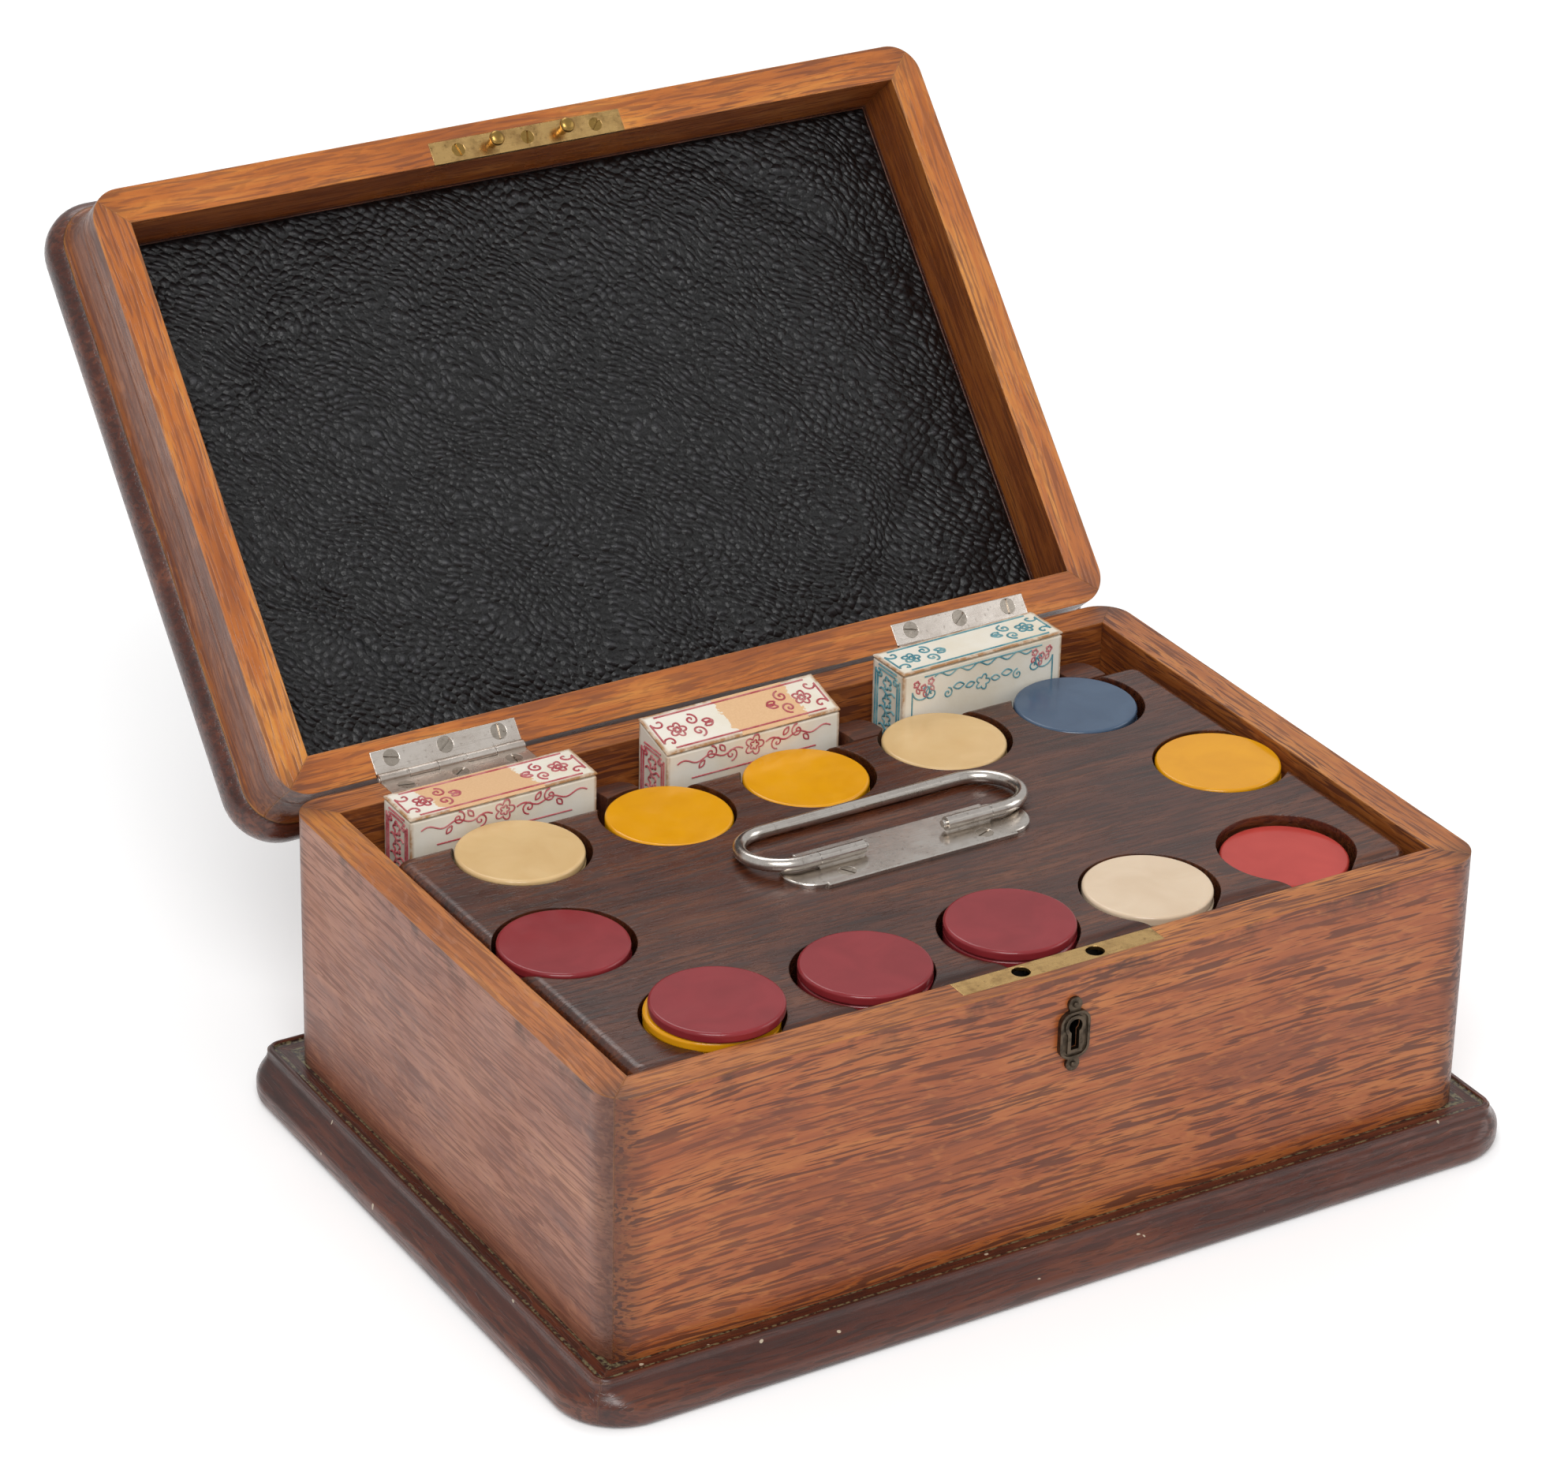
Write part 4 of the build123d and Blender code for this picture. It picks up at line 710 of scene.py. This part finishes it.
# Ornament for the cartons, drawn as lines on a face. Points are (across, up) in millimetres.

def spiral(x, y, size, start, hand, turns=1.35):
    """A scroll that winds in from a point on its rim to its middle."""
    steps = 22
    points = []
    for step in range(steps + 1):
        share = step / steps
        angle = math.radians(start) + hand * 2 * math.pi * turns * share
        reach = size * (1 - share) ** 0.8
        points.append((x + reach * math.cos(angle), y + reach * math.sin(angle)))
    return points


def vine(x0, x1, y, swell, waves):
    """A wavy stem."""
    steps = max(16, int(waves * 12))
    return [(x0 + (x1 - x0) * s / steps, y + swell * math.sin(2 * math.pi * waves * s / steps))
            for s in range(steps + 1)]


def blossom(x, y, size, petals=5):
    """A flower of round petals, as one closed line."""
    steps = petals * 8
    points = []
    for step in range(steps + 1):
        angle = 2 * math.pi * step / steps
        reach = size * (0.55 + 0.45 * abs(math.cos(angle * petals / 2)))
        points.append((x + reach * math.cos(angle), y + reach * math.sin(angle)))
    return points


def leaf(x, y, size, angle):
    """A pointed leaf, as one closed line."""
    turn = math.radians(angle)
    steps = 8
    points = []
    for side in (1, -1):
        for step in range(steps + 1):
            share = step / steps if side > 0 else 1 - step / steps
            across = side * 0.26 * size * math.sin(math.pi * share)
            points.append((x + size * share * math.cos(turn) - across * math.sin(turn),
                           y + size * share * math.sin(turn) + across * math.cos(turn)))
    return points


def scroll_band(half, y, size):
    """A band of scrolls either side of a middle flower."""
    lines = [blossom(0, y, 1.5 * size), blossom(0, y, 0.7 * size)]
    for hand in (-1, 1):
        lines.append(vine(hand * 1.8 * size, hand * half, y, 0.35 * size, 2.5))
        count = max(1, int((half - 3 * size) / (3.2 * size)))
        for number in range(count):
            x = hand * (3.6 * size + number * 3.2 * size)
            up = 1 if number % 2 else -1
            lines.append(spiral(x, y + up * 0.5 * size, size, 90 * up, hand * up))
            turn = 90 - 90 * hand - up * hand * 50
            lines.append(leaf(x + hand * size, y - up * 0.3 * size, 1.3 * size, turn))
    return lines


def corner_frame(half, low, high, notch):
    """A border whose corners curl inwards."""
    lines = []
    for hand in (-1, 1):
        x = hand * half
        lines.append([(x, low + notch), (x, high - notch)])
        lines.append(spiral(x - hand * notch, high - notch, notch, 0 if hand > 0 else 180, -hand, 0.8))
        lines.append(spiral(x - hand * notch, low + notch, notch, 0 if hand > 0 else 180, hand, 0.8))
    lines.append([(-half + notch, high), (half - notch, high)])
    lines.append([(-half + notch, low), (half - notch, low)])
    return lines


def printed(name, pack, face, lines, material, radius=INK_RADIUS):
    """Lays lines on a face of a carton as ink that stands a hair proud."""
    top = BLOCK_TOP + pack["proud"] - PACK_FLOOR
    half_x = pack["width"] / 2
    half_y = PACK_THICKNESS / 2
    tilt = pack["rise"] / PACK_THICKNESS

    def on_face(across, up):
        if face == "front":
            return across, -half_y + INK_SINK, top + up
        if face == "back":
            return -across, half_y - INK_SINK, top + up
        if face == "top":
            return across, up, top + tilt * (up + half_y)
        side = -1 if face == "left" else 1
        return side * (half_x - INK_SINK), -side * across, top + up

    place = pack_matrix(pack)
    curve = bpy.data.curves.new(name, "CURVE")
    curve.dimensions = "3D"
    curve.bevel_depth = radius * MM
    curve.bevel_resolution = 0
    for line in lines:
        spline = curve.splines.new("POLY")
        spline.points.add(len(line) - 1)
        for point, (across, up) in zip(spline.points, line):
            point.co = (*(place @ (Vector(on_face(across, up)) * MM)), 1.0)
    shape = bpy.data.objects.new(name + "_line", curve)
    mesh = bpy.data.meshes.new_from_object(shape)
    bpy.data.objects.remove(shape)
    bpy.data.curves.remove(curve)
    mesh.name = name
    mesh.materials.clear()
    mesh.materials.append(material)
    piece = bpy.data.objects.new(name, mesh)
    bpy.context.scene.collection.objects.link(piece)
    return piece


def front_lines(half, height):
    """A carton's broad face: a bold band of scrolls by each end, and a curled frame between them."""
    top_band = scroll_band(half, -2 * BAND_SCROLL, BAND_SCROLL)
    foot_band = scroll_band(half, -height + 2.5 * BAND_SCROLL, BAND_SCROLL)
    return top_band + foot_band + corner_frame(half, -height + 11, -10, FRAME_CURL)


def medallion_lines(height):
    """The big flower in the middle of a broad face, with a ring of leaves."""
    middle = -height / 2
    lines = [blossom(0, middle, size, petals) for size, petals in ((11, 8), (7, 8), (3.5, 5))]
    for step in range(8):
        angle = math.radians(45 * step)
        lines.append(leaf(12.5 * math.cos(angle), middle + 12.5 * math.sin(angle), 7, 45 * step))
    return lines


def top_lines(half):
    """The top: a curled frame, and a flower between scrolls at each end."""
    edge = PACK_THICKNESS / 2 - 1.7
    lines = corner_frame(half + 1.8, -edge, edge, 2.4)
    for hand in (-1, 1):
        lines.append(blossom(hand * (half - 5), 0, 2.9))
        lines.append(blossom(hand * (half - 5), 0, 1.2))
        for up in (-1, 1):
            lines.append(spiral(hand * (half - 11), up * 2.6, 2.3, 90 * up, hand * up))
            lines.append(leaf(hand * (half - 14), up * 1.2, 3.4, 90 + hand * 90 + up * hand * 20))
    return lines


def end_lines(height):
    """A narrow end, printed densely: a double frame filled with flowers and wavy stems."""
    lines = corner_frame(6.4, -height + 3, -1.8, 1.6) + corner_frame(5.2, -height + 4.2, -3.0, 1.4)
    count = int((height - 10) / 6)
    for number in range(count):
        y = -6.5 - 6 * number
        lines.append(blossom(0, y, 2.2))
        lines.append(vine(-4, 4, y - 3, 0.6, 1.5))
    return lines


def sprig_lines(half):
    """Small flowers on stems, in the upper corners of a broad face."""
    lines = []
    for hand in (-1, 1):
        for step in range(3):
            x = hand * (half - 1.5 - 2.6 * step)
            y = -4.5 - 1.6 * (step % 2)
            lines.append(blossom(x, y, 1.1))
            lines.append(leaf(x, y - 1.4, 2.2, 270 - 30 * hand))
    return lines


def framed_lines(half, height):
    """A broad face with a leafy border instead of a band: stems, small scrolls and leaves."""
    lines = corner_frame(half, -height + 4, -2.6, 4.2)
    low = -8.6
    lines.append(vine(-half + 8, half - 8, -3.4, 0.8, 5))
    for hand in (-1, 1):
        lines.append(spiral(hand * (half - 7), low, 2.4, 90, -hand))
        lines.append(spiral(hand * (half - 13), low - 1.5, 1.8, 90, hand))
        lines.append(leaf(hand * (half - 15), low, 4.0, 90 + 90 * hand))
        lines.append(leaf(hand * (half - 19.5), low - 1, 3.4, 90 + 80 * hand))
    lines.append(blossom(0, low - 1, 2.6))
    return lines


def ornament(number, pack, ink, second_ink, framed):
    """The prints on one carton. Both broad faces are alike, and so are both ends."""
    half = pack["width"] / 2 - 3.6
    height = BLOCK_TOP + pack["proud"] - PACK_FLOOR
    broad = framed_lines(half, height) if framed else front_lines(half, height)
    second = medallion_lines(height) + (sprig_lines(half) if framed else [])
    faces = {"front": broad, "back": broad, "top": top_lines(half), "left": end_lines(height),
             "right": end_lines(height)}
    for face, lines in faces.items():
        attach(printed(f"print_{face}_{number}", pack, face, lines, ink), "card_pack_" + number)
    for face in ("front", "back"):
        piece = printed(f"print_flower_{face}_{number}", pack, face, second, second_ink)
        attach(piece, "card_pack_" + number)


# Scene

def white_floor():
    """Matt white paper. What sees it straight on sees white, and it keeps the shadow of the case."""
    made, tree, shader = new_material("white_paper_floor")
    shader.inputs["Base Color"].default_value = linear(FLOOR_COLOUR)
    shader.inputs["Roughness"].default_value = 0.9
    rays = add(tree, "LightPath")
    seen = rays.outputs["Is Camera Ray"]
    for other in ("Is Glossy Ray", "Is Transmission Ray"):
        seen = add(tree, "Math", [seen, rays.outputs[other]], operation="MAXIMUM")
    lift = add(tree, "Math", [seen, FLOOR_LIFT], operation="MULTIPLY")
    shader.inputs["Emission Color"].default_value = linear("#ffffff")
    tree.links.new(lift.outputs[0], shader.inputs["Emission Strength"])
    return made


def studio():
    """A white floor, a soft box above and to the left, a weak fill, and a back light."""
    bm = bmesh.new()
    bmesh.ops.create_grid(bm, x_segments=1, y_segments=1, size=FLOOR_HALF)
    finished("floor", bm, white_floor(), smooth=False)
    world = bpy.data.worlds.new("studio")
    bpy.context.scene.world = world
    world.use_nodes = True
    background = world.node_tree.nodes["Background"]
    background.inputs["Color"].default_value = linear("#ffffff")
    background.inputs["Strength"].default_value = SKY
    for name, (place, size, power) in LAMPS.items():
        lamp = bpy.data.lights.new(name, "AREA")
        lamp.size = size
        lamp.energy = power
        light = bpy.data.objects.new(name, lamp)
        light.location = place
        light.rotation_mode = "QUATERNION"
        light.rotation_quaternion = (Vector(place) - Vector(LAMP_TARGET)).to_track_quat("Z", "Y")
        bpy.context.scene.collection.objects.link(light)


def camera():
    """The camera, placed by its angles round the target."""
    azimuth = math.radians(CAMERA_AZIMUTH)
    elevation = math.radians(CAMERA_ELEVATION)
    roll = math.radians(CAMERA_ROLL)
    back = Vector((math.sin(azimuth) * math.cos(elevation), -math.cos(azimuth) * math.cos(elevation),
                   math.sin(elevation)))
    right = Vector((math.cos(azimuth), math.sin(azimuth), 0))
    up = back.cross(right)
    turned_right = right * math.cos(roll) + up * math.sin(roll)
    turned_up = -right * math.sin(roll) + up * math.cos(roll)
    lens = bpy.data.cameras.new("camera")
    lens.sensor_width = SENSOR_WIDTH
    lens.lens = CAMERA_FOCAL_PIXELS / IMAGE_WIDTH * SENSOR_WIDTH
    lens.clip_end = CAMERA_REACH
    made = bpy.data.objects.new("camera", lens)
    turn = Matrix((turned_right, turned_up, back)).transposed()
    place = (Vector(CAMERA_TARGET) + back * CAMERA_DISTANCE) * MM
    made.matrix_world = Matrix.Translation(place) @ turn.to_4x4()
    bpy.context.scene.collection.objects.link(made)
    bpy.context.scene.camera = made


def dress(names, material):
    """Gives CAD nodes a material."""
    for name in names:
        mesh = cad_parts[name].data
        mesh.materials.clear()
        mesh.materials.append(material)


def dress_wood():
    """The boards of case and lid, the mouldings, and the carrier."""
    # The left board gets paler, pinker colours and paler pores than the others: a painted reflection of the
    # bright surroundings on its polish, seen at a grazing angle
    for end, colours, grain, depth in (("front", OAK, "X", 0.8), ("back", OAK, "X", 0.8),
                                       ("left", OAK_SIDE_PAINTED_REFLECTION, "Y", 0.45), ("right", OAK, "Y", 0.8)):
        board = shellacked_oak("shellacked_oak_" + end, colours, OAK_RIM, grain, depth=depth,
                               keyhole=end == "front")
        dress(["case_" + end], board)
    for way, grain, ends in (("long", "X", ("front", "back")), ("short", "Y", ("left", "right"))):
        board = shellacked_oak("shellacked_oak_lid_" + way, OAK_LID_SIDE, OAK_LID, grain, on_lid=True,
                               handled=0.25, coat=0.15, gloss=(0.22, 0.42), depth=0.55)
        dress(["lid_" + end for end in ends], board)
        moulding = polished_mahogany("polished_mahogany_plinth_" + way, MOULDING, MOULDING_PORE, grain,
                                     ledge=True, coat=0.25)
        dress(["plinth_" + end for end in ends], moulding)
    dress(["lid_top"], polished_mahogany("polished_mahogany_lid_top", MOULDING, MOULDING_PORE, "X",
                                         on_lid=True))
    # The base board has the same grain, but no polish
    dress(["base_board"], polished_mahogany("bare_softwood", BASE_WOOD, MOULDING_PORE, "X", rubbed=0.0,
                                            coat=0.0, gloss=(0.7, 0.85)))
    dress(["carrier_block"], polished_mahogany("polished_mahogany_block", CARRIER, CARRIER_PORE, "X",
                                               rubbed=0.12, gloss=(0.18, 0.34)))
    dress(["carrier_base"] + [f"divider_{number}" for number in (1, 2, 3)],
          polished_mahogany("waxed_mahogany_tray", CARRIER, CARRIER_PORE, "X", rubbed=0.2, coat=0.1,
                            gloss=(0.35, 0.5)))


def dress_metal():
    """Nickel for the hinges and the handle, steel for their screws, brass, bronze and iron for the lock."""
    dress(["hinge_leaf_case_left", "hinge_leaf_case_right", "hinge_pin_left", "hinge_pin_right",
           "hinge_leaf_lid_left", "hinge_leaf_lid_right"],
          metal("worn_nickel_plate", "#efe5db", "#8d7e71", 0.16, spread=0.5, patch=14.0))
    dress(["handle_plate", "handle_bail"], metal("handled_nickel_plate", "#dad3cb", "#857a70", 0.12))
    dress(["hinge_screws_case", "hinge_screws_lid", "handle_screws"],
          metal("turned_steel", "#b3a99d", "#4a423b", 0.24, patch=2.5, edge=0.15))
    dress(["lock_plate", "link_plate"],
          metal("worn_sheet_brass", "#e0b878", "#80603a", 0.2, spread=0.7, patch=6.0))
    dress(["link_studs", "link_screws"],
          metal("tarnished_turned_brass", "#a8864a", "#453519", 0.22, patch=3.0, edge=0.15))
    dress(["keyhole_escutcheon", "escutcheon_pins"],
          metal("patinated_cast_bronze", "#5e5245", "#26211d", 0.36, spread=0.7, patch=3.0, edge=0.3))
    dress(["lock_case", "lock_bolt"], metal("stamped_iron", "#4a4642", "#1f1a17", 0.5, spread=0.6))


def dress_chips():
    """One colour for each stack, as it lies in the carrier."""
    plastics = {
        "burgundy": moulded_plastic("moulded_burgundy_plastic", "#8a2b30", "#80262b", 0.03),
        "red": moulded_plastic("moulded_red_plastic", "#b8423a", "#ac3a33", 0.03),
        "yellow": moulded_plastic("moulded_yellow_plastic", "#e09c10", "#d8940e", 0.05),
        "ivory": moulded_plastic("moulded_ivory_plastic", "#d6b583", "#cfac79", 0.06),
        "pale": moulded_plastic("moulded_pale_ivory_plastic", "#d9c3a8", "#d2ba9e", 0.06),
        "blue": moulded_plastic("moulded_blue_plastic", "#4a5c72", "#425369", 0.03),
    }
    rows = {
        "front": ("yellow", "burgundy", "burgundy", "pale", "red"),
        "side": ("burgundy", "yellow"),
        "back": ("ivory", "yellow", "yellow", "ivory", "blue"),
    }
    for row, colours in rows.items():
        for number, colour in enumerate(colours, 1):
            dress([f"chips_{row}_{number}"], plastics[colour])
    dress(["chip_on_front_1"], plastics["burgundy"])


def dress_packs():
    """The cartons with their prints, and the decks inside them."""
    red = printing_ink("red_ink", "#a83f49", "#cf9a96")
    blue = printing_ink("blue_green_ink", "#3f7e8c", "#9cb8b4")
    rose = printing_ink("rose_ink", "#b0585e", "#d6aaa4")
    patches = {"1": (0.17, 0.68, 0.35), "2": (0.42, 0.82, 0.1), "3": None}
    for number, pack in PACKS.items():
        board = carton_board("coated_carton_board_" + number, pack, patches[number])
        piece = carton(number, pack, board)
        if number == "3":
            ornament(number, pack, blue, rose, framed=True)
        else:
            ornament(number, pack, red, red, framed=False)
    dress([f"cards_{number}" for number in PACKS], playing_card_stock())


dress_wood()
dress_metal()
dress_chips()
dress_packs()
leather_pad(pebbled_leathercloth())
studio()
camera()
bpy.context.scene.view_settings.view_transform = "Standard"
